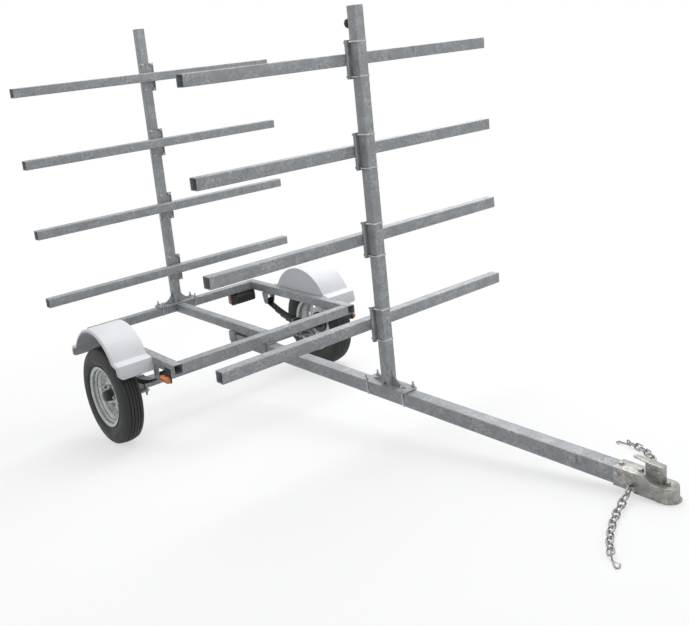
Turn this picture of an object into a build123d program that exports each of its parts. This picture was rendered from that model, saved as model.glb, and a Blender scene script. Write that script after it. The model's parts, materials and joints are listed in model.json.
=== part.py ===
import os
from math import asin, atan2, cos, degrees, hypot, pi, radians, sin, sqrt

from build123d import *

os.makedirs("parts", exist_ok=True)

# A bolt-together galvanised trailer that carries paddleboards on two posts with four arms each.
# It is modelled level, in millimetres, with the axle's centre as its origin:
# X points forward to the coupler, Y to the trailer's left and Z up.
# At the end it is tipped nose down about the axle until the coupler rests on the floor.
# Small rounds are flats: a rounded corner is one flat that touches its arc in the middle.
ROUND_SHARE = 2 - sqrt(2)
OVERRUN = 20.0

# Square tube of the frame, posts and arms
TUBE = 50.8
WALL = 3.2
CORNER = 5.0

# Wheels, with the room beside them that places the rails
TRACK = 1444.0
TYRE_RADIUS = 268.0
TYRE_WIDTH = 122.0
TYRE_TO_RAIL = 62.1
WHEEL_SIDES = 32
RIM_WIDTH = 106.0
RIM_RADIUS = 168.0
BEAD_RADIUS = 155.4
FLANGE_THICK = 4.0
FLANGE_RUN = 3.0
FLANGE_DEEP = 6.0
BEAD_GAP = 0.4
BEAD_LIFT = 1.5
DISH_RADIUS = 149.0
DISH_FLOOR_RADIUS = 128.0
DISC_FACE = 10.0
DISC_THICK = 6.0
SLOT_COUNT = 8
SLOT_LENGTH = 20.0
SLOT_WIDTH = 14.0
SLOT_PITCH_RADIUS = 100.0
STUD_COUNT = 5
STUD_PITCH_RADIUS = 57.15
STUD_NUT = 19.0
STUD_NUT_THICK = 14.0
# share of half the tyre's width, share of its radius: from the widest place to the crown
TREAD_SHARES = ((1.0, 0.80), (0.90, 0.925), (0.69, 0.981), (0.0, 1.0))
SIDEWALL_SHARE = 0.776

# Hubs
HUB_SIDES = 16
HUB_RADIUS = 33.0
HUB_BACK = 55.0
HUB_FLANGE_RADIUS = 66.0
HUB_FLANGE_THICK = 8.0
HUB_BORE_END = 40.0
HUB_HOLE_GAP = 1.0
# distance outward from the wheel's middle, share of the hub's radius
HUB_CAP = ((0.0, 1.0), (36.0, 0.92), (51.0, 0.80), (57.0, 0.42))
HUB_BACK_SHARE = 0.88

# Frame
FRAME_TOP = 241.0
FRAME_BOTTOM = FRAME_TOP - TUBE
FRAME_MIDDLE = FRAME_TOP - TUBE / 2
REAR_MEMBER_X = -494.0
FRONT_MEMBER_X = 490.0
RAIL_Y = TRACK / 2 - TYRE_WIDTH / 2 - TYRE_TO_RAIL - TUBE / 2
RAIL_OUTER_Y = RAIL_Y + TUBE / 2

# Tongue, with the saddles and clamps that hang it under the frame
TONGUE = 63.5
TONGUE_WALL = 4.0
SADDLE = 12.0
SADDLE_LENGTH = 60.0
TONGUE_TOP = FRAME_BOTTOM - SADDLE
TONGUE_BOTTOM = TONGUE_TOP - TONGUE
TONGUE_REAR_X = 146.0
TONGUE_FRONT_X = 2640.0
STRAP_LENGTH = 24.0
STRAP_WALL = 5.0
STRAP_FOOT = 26.0
CHEEK_DROP = 46.0
TONGUE_BOLT_DROP = 30.0

# Posts and their feet
FRONT_POST_X = 1433.0
REAR_POST_X = REAR_MEMBER_X
POST_LENGTH = 1677.0
FOOT_LENGTH = 276.0
FOOT_EDGE = 4.25
FOOT_THICK = 8.0
FOOT_CORNER = 16.0
GUSSET_RISE = 78.0
GUSSET_REACH = 78.0
GUSSET_THICK = 6.0
GUSSET_TOE = 4.0
GUSSET_SINK = 1.0
GUSSET_HOLLOW_SHARES = (0.33, 0.36)
FOOT_CLAMP_AT = 116.0
DRAIN_RADIUS = 6.0

# Arms, evenly spread up the posts, and the channel brackets that hold them
ARM_LENGTH = 1676.0
ARM_COUNT = 4
ARM_RISE = 229.0
ARM_LOWEST = FRAME_TOP + ARM_RISE
ARM_TOP_DROP = 220.2
ARM_HIGHEST = TONGUE_TOP + FOOT_THICK + POST_LENGTH - ARM_TOP_DROP
ARM_PITCH = (ARM_HIGHEST - ARM_LOWEST) / (ARM_COUNT - 1)
ARM_HOLE_RADIUS = 5.0
ARM_HOLE_IN = 34.0
BRACKET_WIDTH = 88.0
BRACKET_HEIGHT = 164.0
BRACKET_DEPTH = 13.0
BRACKET_WALL = 5.0
BRACKET_BEND = 4.0
ARM_CLAMP_AT = 72.0

# Knob on the rear face of the front post
KNOB_DROP = 70.2
KNOB_SIDES = 12
# distance out from the post, radius
KNOB_PROFILE = ((0.0, 9.0), (11.0, 9.0), (12.0, 19.0), (16.0, 22.0), (27.0, 22.0), (32.0, 17.0))

# U-bolts and the hinge bolts
ROD = 9.5
ROD_SIDES = 6
ROD_TURN = 180 / ROD_SIDES
ROD_GAP = 0.5
HOLE_GAP = 0.8
NUT_ACROSS = 16.0
THREAD_END = 26.0
BOLT = 12.0
BOLT_SIDES = 12
BOLT_GAP = 0.3
BOLT_HEAD = 19.0
BOLT_HEAD_THICK = 7.5
FOOT_WIDTH = TONGUE + 2 * (ROD_GAP + ROD + FOOT_EDGE)

# Axle
AXLE = 50.8
AXLE_WALL = 5.0
SPINDLE = 15.0
SPINDLE_REACH = 70.0
SPINDLE_TIP = 30.0
PLUG_LENGTH = 70.0
RUNNING_GAP = 0.08

# Leaf springs, their hangers and the clamps on the axle
SPRING_SPAN = 610.0
SPRING_INSET = 5.5
EYE_DROP = 52.2
LEAF_WIDTH = 45.0
LEAF_THICK = 7.0
LEAF_COUNT = 4
LEAF_STEP_SHARE = 0.2
EYE_OUTER = 15.0
PAD_THICK = 6.0
HANGER_WALL = 5.0
HANGER_GAP = 1.0
HANGER_TOP = 66.0
HANGER_LOW = 42.0
HANGER_END = 20.0
HANGER_CUT = 10.0
CLAMP_LENGTH = 92.0
CLAMP_PLATE = 8.0
CLAMP_EDGE = 9.0
CLAMP_CORNER = 12.0
CLAMP_ROD_GAP = 1.0
CLAMP_SEAT_GAP = 0.1

# Fenders
FENDER_OVERHANG = 15.9
FENDER_WIDTH = TYRE_TO_RAIL + TYRE_WIDTH + FENDER_OVERHANG
FENDER_TUCK = 3.0
FENDER_RADIUS = TYRE_RADIUS - FENDER_TUCK
FENDER_CENTRE_Z = 118.0
FENDER_SKIN = 5.0
FENDER_EDGE = 8.0
FENDER_LIP = 16.0
FENDER_CORNER = 28.0
LEDGE_ANGLE = radians(29)
LEDGE_RUN = 54.0
LEDGE_FALL = 8.0
LEDGE_INSET_SHARE = 0.9
SKIRT_FLARE = 14.0
SKIRT_DROP = 66.0

# Lamps
TAIL_LAMP_WIDTH = 190.0
TAIL_LAMP_HEIGHT = 76.0
TAIL_LAMP_INSET = 16.0
TAIL_LAMP_GAP = 4.0
TAIL_LAMP_CORNER = 14.0
TAIL_RIM_THICK = 8.0
TAIL_RIM_STEP = 4.0
TAIL_BODY_DEPTH = 45.0
TAIL_BODY_TAPER = 20.0
TAIL_PAD_LENGTH = 26.0
TAIL_PAD_WIDTH = 120.0
TAIL_LENS_DEPTH = 42.0
TAIL_LENS_STEP = 2.0
TAIL_LENS_BEVEL = 9.0
MARKER_BACK = 45.0
MARKER_LENGTH = 84.0
MARKER_HEIGHT = 36.0
MARKER_DROP = 30.2
MARKER_CORNER = 12.0
MARKER_PLATE = 4.0
MARKER_PLATE_LENGTH = 60.0
MARKER_PLATE_RISE = 53.0
MARKER_BASE = 8.0
MARKER_LENS_STEP = 2.0
MARKER_LENS_DEPTH = 24.0
MARKER_LENS_BEVEL = 9.0

# Coupler and its latch
BALL_X = 2772.0
COUPLER_REAR_X = 2590.0
COUPLER_WALL = 4.0
COUPLER_HEAD = 39.0
COUPLER_NECK_BACK = 75.0
COUPLER_FLARE_BACK = 62.0
COUPLER_SLOPE_LENGTH = 54.0
COUPLER_HEAD_DROP = 18.0
COUPLER_NOSE_ROUND = 16.0
COUPLER_RIM = 7.0
COUPLER_RIM_THICK = 3.0
COUPLER_RIM_BACK = 100.0
COUPLER_SKIRT = 3.0
COUPLER_BOTTOM = TONGUE_BOTTOM - COUPLER_SKIRT
COUPLER_TOP = TONGUE_TOP + COUPLER_WALL
COUPLER_HALF = TONGUE / 2 + COUPLER_WALL
HEAD_TOP = COUPLER_TOP - COUPLER_HEAD_DROP
NOSE_X = BALL_X + COUPLER_HEAD
# distance ahead of the coupler's rear edge of each top bolt
TOP_BOLTS = (14.0, 88.0)
SIDE_BOLT_IN = 16.0
SIDE_BOLT_DROP = 20.0
LATCH_HALF = 13.0
LATCH_WALL = 3.0
LATCH_LENGTH = 62.0
LATCH_BACK = 8.0
LATCH_RISE = 38.0
LEVER_LENGTH = 112.0
LEVER_WIDTH = 30.0
LEVER_END_WIDTH = 22.0
LEVER_THICK = 4.0
LEVER_RISE = 8.0
LEVER_CUT = 7.0
HEAD_NUT_AHEAD = 12.0
HEAD_NUT_THICK = 11.0

# Chains and the rod staples that they hang from
LINK_WIRE = 7.0
LINK_LENGTH = 50.0
LINK_WIDTH = 29.0
LINK_SLACK = 1.5
LINK_PITCH = LINK_LENGTH - 2 * LINK_WIRE - LINK_SLACK
LINK_HOLE_CUT = 2.0
LINK_BEVEL = 1.6
LINK_COUNT = 12
EYE_ROD = 8.0
CHAIN_EYE_AHEAD = 74.0
CHAIN_EYE_X = COUPLER_REAR_X + CHAIN_EYE_AHEAD
CHAIN_EYE_RISE = 16.0
CHAIN_EYE_Z = TONGUE_BOTTOM + CHAIN_EYE_RISE
CHAIN_EYE_OUT = 17.0
CHAIN_EYE_LONG = 30.0
CHAIN_EYE_CUT = 5.0
LINK_REST = 13.1
ODD_ROLL = 20.0
EVEN_ROLL = -46.0
# share of the height still above the rest that each link goes down
DESCENT_SHARE = 0.4
HOOK_EYE = 13.0
HOOK_EYE_WIRE = 5.0
HOOK_LENGTH = 52.0
HOOK_REACH = 10.0
HOOK_WIDTH = 22.0
HOOK_TURN = 5.0
HOOK_BACK = 18.0
HOOK_SINK = 2.0
HOOK_GAP = 6.6
FLOOR_GAP = 0.3
# side, sign of Y, heading at the coupler and at the hook in degrees from straight ahead
CHAIN_ROUTES = (("left", 1, 100.0, 160.0), ("right", -1, -80.0, -52.0))

# The tyre's contact height and the coupler's front rim give the angle at which it parks.
RIM_FRONT_X = NOSE_X + COUPLER_RIM
PARK_ANGLE = asin(TYRE_RADIUS / hypot(RIM_FRONT_X, COUPLER_BOTTOM)) + atan2(COUPLER_BOTTOM, RIM_FRONT_X)
WHEEL_PLANE = Plane((0, TRACK / 2, 0), x_dir=(1, 0, 0), z_dir=(0, 1, 0))
# This turn lays one flat of each many-sided wheel piece on the floor when parked.
WHEEL_TURN = 90 - degrees(PARK_ANGLE) - 180 / WHEEL_SIDES

pieces = []


def keep(part, label):
    """Label one finished piece and keep it for the parked pose."""
    part.label = label
    pieces.append(part)


def keep_pair(part, label):
    """Keep a left piece, and its mirror image as the right one."""
    keep(part, f"{label}_left")
    keep(part.mirror(Plane.XZ), f"{label}_right")


def cut_corners(length, width, cut):
    """List the points of a rectangle with its corners cut off."""
    x, y = length / 2, width / 2
    return [(cut - x, -y), (x - cut, -y), (x, cut - y), (x, y - cut), (x - cut, y), (cut - x, y), (-x, y - cut), (-x, cut - y)]


def cut_rectangle(length, width, cut):
    """Sketch a rectangle with its corners cut off, about the current location."""
    Polygon(*cut_corners(length, width, cut))


def many_sided(radius, sides, turn=0.0):
    """List the points of a regular polygon whose flats are a radius from its middle."""
    reach = radius / cos(pi / sides)
    angles = [radians(turn) + 2 * pi * number / sides for number in range(sides)]
    return [(reach * cos(angle), reach * sin(angle)) for angle in angles]


def flat_faced(plane, sections):
    """Make a body of flat faces through (place, points) pairs along a plane's normal."""
    rings = [[plane.from_local_coords((x, y, place)) for x, y in points] for place, points in sections]
    faces = [Face(Wire.make_polygon(ring)) for ring in (rings[0], rings[-1])]
    for near, far in zip(rings, rings[1:]):
        for number in range(len(near)):
            faces.append(Face(Wire.make_polygon([near[number - 1], near[number], far[number], far[number - 1]])))
    return Solid(Shell(faces))


def tube_section(size, wall):
    """Sketch a square tube's section about the current location."""
    cut_rectangle(size, size, CORNER * ROUND_SHARE)
    Rectangle(size - 2 * wall, size - 2 * wall, mode=Mode.SUBTRACT)


def rod_hole(turn):
    """Sketch the hole that a U-bolt's leg goes through."""
    RegularPolygon(ROD / 2 + HOLE_GAP, ROD_SIDES, major_radius=False, rotation=turn)


def turned(axis_plane, profile, sides, turn=0.0):
    """Make a many-sided body through (place, radius) pairs along a plane's normal."""
    return flat_faced(axis_plane, [(place, many_sided(radius, sides, turn)) for place, radius in profile])


def u_bolt(width, seat):
    """Make a square U-bolt: bend towards -Y, legs along +Y past the seat of its nuts, in the XY plane."""
    half = (width + ROD) / 2
    end = seat + THREAD_END
    with BuildPart() as bolt:
        with BuildLine() as path:
            Polyline((-half, end), (-half, -half), (half, -half), (half, end))
        with BuildSketch(Plane((-half, end, 0), x_dir=(1, 0, 0), z_dir=(0, -1, 0))):
            RegularPolygon(ROD / 2, ROD_SIDES, major_radius=False, rotation=ROD_TURN)
        sweep(path=path.line, transition=Transition.RIGHT)
    return bolt.part


# Frame: two side rails with the crossmembers between them and a beam down the middle
with BuildPart() as rail:
    with BuildSketch(Plane.YZ.offset(REAR_MEMBER_X - TUBE / 2)):
        with Locations((RAIL_Y, FRAME_MIDDLE)):
            tube_section(TUBE, WALL)
    extrude(amount=FRONT_MEMBER_X - REAR_MEMBER_X + TUBE)
keep_pair(rail.part, "side_rail")

for name, member_x in (("front", FRONT_MEMBER_X), ("rear", REAR_MEMBER_X)):
    with BuildPart() as member:
        with BuildSketch(Plane.XZ):
            with Locations((member_x, FRAME_MIDDLE)):
                tube_section(TUBE, WALL)
        extrude(amount=RAIL_Y - TUBE / 2, both=True)
    keep(member.part, f"{name}_crossmember")

with BuildPart() as beam:
    with BuildSketch(Plane.YZ.offset(REAR_MEMBER_X + TUBE / 2)):
        with Locations((0, FRAME_MIDDLE)):
            tube_section(TUBE, WALL)
    extrude(amount=FRONT_MEMBER_X - REAR_MEMBER_X - TUBE)
keep(beam.part, "centre_beam")

# Tongue: a longer tube under the beam, with a bolt hole through its rear end
REAR_SADDLE_X = TONGUE_REAR_X + SADDLE_LENGTH / 2
TONGUE_BOLT_Z = TONGUE_TOP - TONGUE_BOLT_DROP
with BuildPart() as tongue:
    with BuildSketch(Plane.YZ.offset(TONGUE_REAR_X)):
        with Locations((0, TONGUE_TOP - TONGUE / 2)):
            tube_section(TONGUE, TONGUE_WALL)
    extrude(amount=TONGUE_FRONT_X - TONGUE_REAR_X)
    with BuildSketch(Plane.XZ):
        with Locations((REAR_SADDLE_X, TONGUE_BOLT_Z)):
            RegularPolygon(BOLT / 2 + BOLT_GAP, ROD_SIDES, major_radius=False)
    extrude(amount=TONGUE, both=True, mode=Mode.SUBTRACT)
keep(tongue.part, "tongue")

with BuildPart() as saddles:
    for saddle_x in (REAR_SADDLE_X, FRONT_MEMBER_X):
        with BuildSketch(Plane.XY.offset(TONGUE_TOP)):
            with Locations((saddle_x, 0)):
                Rectangle(SADDLE_LENGTH, TONGUE)
        extrude(amount=SADDLE)
keep(saddles.part, "tongue_saddles")

# Clamps: cheeks with a cross bolt at the tongue's rear end, a strap round it at the front member
with BuildPart() as tongue_clamps:
    with BuildSketch(Plane.XZ):
        with Locations((REAR_SADDLE_X, (FRAME_BOTTOM + TONGUE_TOP - CHEEK_DROP) / 2)):
            Rectangle(SADDLE_LENGTH, SADDLE + CHEEK_DROP)
    extrude(amount=TONGUE / 2 + STRAP_WALL, both=True)
    with BuildSketch(Plane.XZ):
        with Locations((REAR_SADDLE_X, (FRAME_BOTTOM + TONGUE_TOP - CHEEK_DROP) / 2)):
            Rectangle(SADDLE_LENGTH + OVERRUN, SADDLE + CHEEK_DROP + OVERRUN)
    extrude(amount=TONGUE / 2, both=True, mode=Mode.SUBTRACT)
    for length, across in ((0, BOLT), (BOLT_HEAD_THICK, BOLT_HEAD)):
        with BuildSketch(Plane.XZ):
            with Locations((REAR_SADDLE_X, TONGUE_BOLT_Z)):
                RegularPolygon(across / 2, ROD_SIDES, major_radius=False)
        if length:
            extrude(amount=TONGUE / 2 + STRAP_WALL + length, both=True)
            with BuildSketch(Plane.XZ):
                with Locations((REAR_SADDLE_X, TONGUE_BOLT_Z)):
                    RegularPolygon(BOLT_HEAD, ROD_SIDES, major_radius=False)
                    RegularPolygon(BOLT / 2, ROD_SIDES, major_radius=False, mode=Mode.SUBTRACT)
            extrude(amount=TONGUE / 2, both=True, mode=Mode.SUBTRACT)
        else:
            extrude(amount=TONGUE / 2 + STRAP_WALL, both=True)
    with BuildSketch(Plane.YZ.offset(FRONT_MEMBER_X - STRAP_LENGTH / 2)):
        with BuildLine():
            inner_y = TONGUE / 2
            outer_y = inner_y + STRAP_WALL
            foot_y = outer_y + STRAP_FOOT
            low_z = TONGUE_BOTTOM - STRAP_WALL
            foot_z = FRAME_BOTTOM - STRAP_WALL
            half_strap = [(0, low_z), (outer_y, low_z), (outer_y, foot_z), (foot_y, foot_z), (foot_y, FRAME_BOTTOM),
                          (inner_y, FRAME_BOTTOM), (inner_y, TONGUE_BOTTOM), (0, TONGUE_BOTTOM)]
            Polyline(*half_strap, *((-y, z) for y, z in reversed(half_strap[1:-1])), close=True)
        make_face()
    extrude(amount=STRAP_LENGTH)
keep(tongue_clamps.part, "tongue_clamps")

# Posts: each stands on a foot plate that is long along the member it is clamped to
POSTS = {
    "front": {"x": FRONT_POST_X, "base": TONGUE_TOP, "carrier": TONGUE, "along": Vector(1, 0, 0), "arm_side": -1},
    "rear": {"x": REAR_POST_X, "base": FRAME_TOP, "carrier": TUBE, "along": Vector(0, 1, 0), "arm_side": 1},
}
ARM_LEVELS = [ARM_HIGHEST - ARM_PITCH * number for number in range(ARM_COUNT)]
for name, post in POSTS.items():
    along = post["along"]
    across = along.rotate(Axis.Z, 90)
    foot_plane = Plane((post["x"], 0, post["base"]), x_dir=along, z_dir=(0, 0, 1))
    bolt_width = post["carrier"] + 2 * ROD_GAP
    with BuildPart() as upright:
        with BuildSketch(foot_plane):
            cut_rectangle(FOOT_LENGTH, FOOT_WIDTH, FOOT_CORNER * ROUND_SHARE)
            with GridLocations(2 * FOOT_CLAMP_AT, bolt_width + ROD, 2, 2):
                RegularPolygon(ROD / 2 + HOLE_GAP, ROD_SIDES, major_radius=False, mode=Mode.SUBTRACT)
        extrude(amount=FOOT_THICK)
        with BuildSketch(foot_plane.offset(FOOT_THICK)):
            tube_section(TUBE, WALL)
        extrude(amount=POST_LENGTH)
        # Concave gussets in the plane of the carrier, on both sides of the post
        gusset_plane = Plane(foot_plane.offset(FOOT_THICK).origin, x_dir=along, z_dir=-across)
        hollow_x = TUBE / 2 + GUSSET_REACH * GUSSET_HOLLOW_SHARES[0]
        hollow_z = GUSSET_RISE * GUSSET_HOLLOW_SHARES[1]
        root = TUBE / 2 - GUSSET_SINK
        tip = TUBE / 2 + GUSSET_REACH
        for toward in (1, -1):
            with BuildSketch(gusset_plane):
                with BuildLine():
                    Polyline((toward * root, GUSSET_RISE), (toward * root, 0), (toward * tip, 0), (toward * tip, GUSSET_TOE))
                    ThreePointArc((toward * tip, GUSSET_TOE), (toward * hollow_x, hollow_z), (toward * TUBE / 2, GUSSET_RISE))
                    Line((toward * TUBE / 2, GUSSET_RISE), (toward * root, GUSSET_RISE))
                make_face()
            extrude(amount=GUSSET_THICK / 2, both=True)
        # Drain hole low in the post's side walls
        with BuildSketch(gusset_plane):
            with Locations((0, DRAIN_RADIUS)):
                RegularPolygon(DRAIN_RADIUS, ROD_SIDES, rotation=ROD_TURN)
        extrude(amount=TUBE, both=True, mode=Mode.SUBTRACT)
    keep(upright.part, f"{name}_post")

    # Two U-bolts clamp the foot round its carrier
    carrier_middle = post["base"] - post["carrier"] / 2
    foot_bolt = u_bolt(bolt_width, post["carrier"] / 2 + FOOT_THICK)
    with BuildPart() as foot_clamps:
        for toward in (-1, 1):
            place = Vector(post["x"], 0, carrier_middle) + along * (toward * FOOT_CLAMP_AT)
            with Locations(Plane(place, x_dir=across, z_dir=across.cross(Vector(0, 0, 1)))):
                add(foot_bolt)
    keep(foot_clamps.part, f"{name}_post_clamps")

    # Arms, each with a small hole in its top near the right end
    arm_side = post["arm_side"]
    post_face = post["x"] + arm_side * TUBE / 2
    arm_x = post_face + arm_side * (BRACKET_DEPTH + TUBE / 2)
    for number, level in enumerate(ARM_LEVELS, start=1):
        with BuildPart() as arm:
            with BuildSketch(Plane.XZ):
                with Locations((arm_x, level)):
                    tube_section(TUBE, WALL)
            extrude(amount=ARM_LENGTH / 2, both=True)
            with BuildSketch(Plane.XY.offset(level + TUBE / 2)):
                with Locations((arm_x, ARM_HOLE_IN - ARM_LENGTH / 2)):
                    RegularPolygon(ARM_HOLE_RADIUS, ROD_SIDES)
            extrude(amount=-WALL, mode=Mode.SUBTRACT)
        keep(arm.part, f"{name}_arm_{number}")

    # Brackets: shallow channels with their webs on the post
    with BuildPart() as brackets:
        for level in ARM_LEVELS:
            with BuildSketch(Plane((post_face, 0, level - BRACKET_HEIGHT / 2), x_dir=(arm_side, 0, 0), z_dir=(0, 0, 1))):
                with BuildLine():
                    edge = BRACKET_WIDTH / 2
                    half_channel = [(0, edge - BRACKET_BEND), (BRACKET_BEND, edge), (BRACKET_DEPTH, edge),
                                    (BRACKET_DEPTH, edge - BRACKET_WALL), (BRACKET_WALL, edge - BRACKET_WALL)]
                    Polyline(*half_channel, *((x, -y) for x, y in reversed(half_channel)), close=True)
                make_face()
            extrude(amount=BRACKET_HEIGHT)
            with BuildSketch(Plane((post_face, 0, level), x_dir=(0, 1, 0), z_dir=(arm_side, 0, 0))):
                with GridLocations(TUBE + 2 * ROD_GAP + ROD, 2 * ARM_CLAMP_AT, 2, 2):
                    rod_hole(ROD_TURN)
            extrude(amount=BRACKET_WALL, mode=Mode.SUBTRACT)
    keep(brackets.part, f"{name}_arm_brackets")

    arm_bolt = u_bolt(TUBE + 2 * ROD_GAP, TUBE / 2 + BRACKET_WALL)
    with BuildPart() as arm_clamps:
        for level in ARM_LEVELS:
            for step in (-ARM_CLAMP_AT, ARM_CLAMP_AT):
                with Locations(Plane((post["x"], 0, level + step), x_dir=(0, -arm_side, 0), z_dir=(0, 0, 1))):
                    add(arm_bolt)
    keep(arm_clamps.part, f"{name}_arm_clamps")

# Axle: a square tube with a plug and a round spindle at each end
SPINDLE_ROOT_Y = TRACK / 2 - SPINDLE_REACH
with BuildPart() as axle:
    with BuildSketch(Plane.XZ):
        tube_section(AXLE, AXLE_WALL)
    extrude(amount=SPINDLE_ROOT_Y, both=True)
    for sign in (1, -1):
        plug_plane = Plane((0, sign * (SPINDLE_ROOT_Y - PLUG_LENGTH), 0), z_dir=(0, sign, 0))
        with BuildSketch(plug_plane):
            Rectangle(AXLE - AXLE_WALL, AXLE - AXLE_WALL)
        extrude(amount=PLUG_LENGTH)
        with BuildSketch(plug_plane):
            Circle(SPINDLE)
        extrude(amount=PLUG_LENGTH + SPINDLE_REACH + SPINDLE_TIP)
keep(axle.part, "axle")

# Leaf springs: stacked arcs seated on the axle, with eyes at both ends of the longest leaf
SPRING_Y = RAIL_Y - SPRING_INSET
SPRING_SEAT_Z = AXLE / 2 + PAD_THICK
SPRING_TOP_Z = SPRING_SEAT_Z + LEAF_COUNT * LEAF_THICK
EYE_X = SPRING_SPAN / 2
EYE_Z = FRAME_BOTTOM - EYE_DROP
EYE_RISE = EYE_Z - (SPRING_TOP_Z - LEAF_THICK + EYE_OUTER)
EYE_CIRCLE = (EYE_X**2 + EYE_RISE**2) / (2 * EYE_RISE)
SPRING_RADIUS = EYE_CIRCLE + EYE_OUTER - LEAF_THICK
SPRING_CENTRE_Z = SPRING_TOP_Z + SPRING_RADIUS
EYE_ANGLE = asin(EYE_X / EYE_CIRCLE)
with BuildPart() as spring:
    with BuildSketch(Plane.XZ.offset(-SPRING_Y)):
        for leaf in range(LEAF_COUNT):
            inner = SPRING_RADIUS + leaf * LEAF_THICK
            outer = inner + LEAF_THICK
            angle = EYE_ANGLE * (1 - LEAF_STEP_SHARE * leaf)
            top_x, top_z = inner * sin(angle), SPRING_CENTRE_Z - inner * cos(angle)
            low_x, low_z = outer * sin(angle), SPRING_CENTRE_Z - outer * cos(angle)
            with BuildLine():
                ThreePointArc((-top_x, top_z), (0, SPRING_CENTRE_Z - inner), (top_x, top_z))
                Line((top_x, top_z), (low_x, low_z))
                ThreePointArc((low_x, low_z), (0, SPRING_CENTRE_Z - outer), (-low_x, low_z))
                Line((-low_x, low_z), (-top_x, top_z))
            make_face()
        for end in (-1, 1):
            with Locations((end * EYE_X, EYE_Z)):
                RegularPolygon(EYE_OUTER, BOLT_SIDES, major_radius=False)
                RegularPolygon(BOLT / 2 + BOLT_GAP, BOLT_SIDES, major_radius=False, mode=Mode.SUBTRACT)
    extrude(amount=LEAF_WIDTH / 2, both=True)
keep_pair(spring.part, "leaf_spring")

# Hangers: a channel under the rail with a tapered cheek on both sides of each eye, and its bolt
for end, sign in (("front", 1), ("rear", -1)):
    eye_plane = Plane.XZ.offset(-SPRING_Y)
    cheek_inner = LEAF_WIDTH / 2 + HANGER_GAP
    cheek_outer = cheek_inner + HANGER_WALL
    with BuildPart() as hanger:
        with BuildSketch(eye_plane):
            with BuildLine():
                half_cheek = [(HANGER_TOP / 2, FRAME_BOTTOM), (HANGER_LOW / 2, EYE_Z),
                              (HANGER_LOW / 2 - HANGER_CUT, EYE_Z - HANGER_END)]
                front_edge = [(sign * EYE_X + x, z) for x, z in half_cheek]
                rear_edge = [(sign * EYE_X - x, z) for x, z in reversed(half_cheek)]
                Polyline(*front_edge, *rear_edge, close=True)
            make_face()
        extrude(amount=cheek_outer, both=True)
        with BuildSketch(eye_plane):
            with Locations((sign * EYE_X, FRAME_BOTTOM - HANGER_WALL - EYE_DROP)):
                Rectangle(2 * HANGER_TOP, 2 * EYE_DROP)
        extrude(amount=cheek_inner, both=True, mode=Mode.SUBTRACT)
        for across, reach in ((BOLT, cheek_inner), (BOLT_HEAD, BOLT_HEAD_THICK)):
            head = across == BOLT_HEAD
            for start_plane, direction in ((eye_plane.offset(cheek_outer), 1), (eye_plane.offset(-cheek_outer), -1)):
                with BuildSketch(start_plane if head else eye_plane):
                    with Locations((sign * EYE_X, EYE_Z)):
                        RegularPolygon(across / 2, ROD_SIDES if head else BOLT_SIDES, major_radius=False)
                extrude(amount=direction * reach)
    keep_pair(hanger.part, f"spring_hanger_{end}")

# Axle clamps: a pad on the axle, a plate under it and two U-bolts over each spring
AXLE_CLAMP_X = AXLE / 2 + CLAMP_EDGE
ROD_FAR_X = AXLE_CLAMP_X + ROD
CLAMP_SEAT_Z = SPRING_CENTRE_Z - sqrt(SPRING_RADIUS**2 - ROD_FAR_X**2) + CLAMP_SEAT_GAP
clamp_width = LEAF_WIDTH + 2 * CLAMP_ROD_GAP
loop_z = CLAMP_SEAT_Z - clamp_width / 2
axle_bolt = u_bolt(clamp_width, loop_z + AXLE / 2 + CLAMP_PLATE)
with BuildPart() as clamps:
    with BuildSketch(Plane((0, SPRING_Y, AXLE / 2))):
        Rectangle(CLAMP_LENGTH, LEAF_WIDTH)
    extrude(amount=PAD_THICK)
    with BuildSketch(Plane((0, SPRING_Y, -AXLE / 2))):
        cut_rectangle(CLAMP_LENGTH + ROD, clamp_width + 2 * (ROD + CLAMP_EDGE), CLAMP_CORNER * ROUND_SHARE)
        with GridLocations(2 * AXLE_CLAMP_X, clamp_width + ROD, 2, 2):
            RegularPolygon(ROD / 2 + HOLE_GAP, ROD_SIDES, major_radius=False, mode=Mode.SUBTRACT)
    extrude(amount=-CLAMP_PLATE)
    for step in (-AXLE_CLAMP_X, AXLE_CLAMP_X):
        with Locations(Plane((step, SPRING_Y, loop_z), x_dir=(0, 1, 0), z_dir=(-1, 0, 0))):
            add(axle_bolt)
keep_pair(clamps.part, "axle_clamps")


# Wheels: tyre, pressed rim and hub
def mirrored_profile(half):
    """Complete a profile given from its outer end to the middle of the wheel."""
    return [(-place, radius) for place, radius in half] + [
        (place, radius) for place, radius in reversed(half) if place > 0
    ]


HALF_RIM = RIM_WIDTH / 2
SEAT_HALF = HALF_RIM - FLANGE_THICK - FLANGE_RUN
tread = [(width * TYRE_WIDTH / 2, radius * TYRE_RADIUS) for width, radius in TREAD_SHARES]
bead = [
    (TYRE_WIDTH / 2, SIDEWALL_SHARE * TYRE_RADIUS),
    (HALF_RIM - FLANGE_THICK - BEAD_GAP, RIM_RADIUS + BEAD_LIFT),
    (SEAT_HALF, BEAD_RADIUS),
]
with BuildPart() as tyre:
    add(turned(WHEEL_PLANE, mirrored_profile(tread), WHEEL_SIDES, WHEEL_TURN))
    add(turned(WHEEL_PLANE, mirrored_profile(bead), WHEEL_SIDES, WHEEL_TURN), mode=Mode.SUBTRACT)
keep_pair(tyre.part, "tyre")

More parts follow.
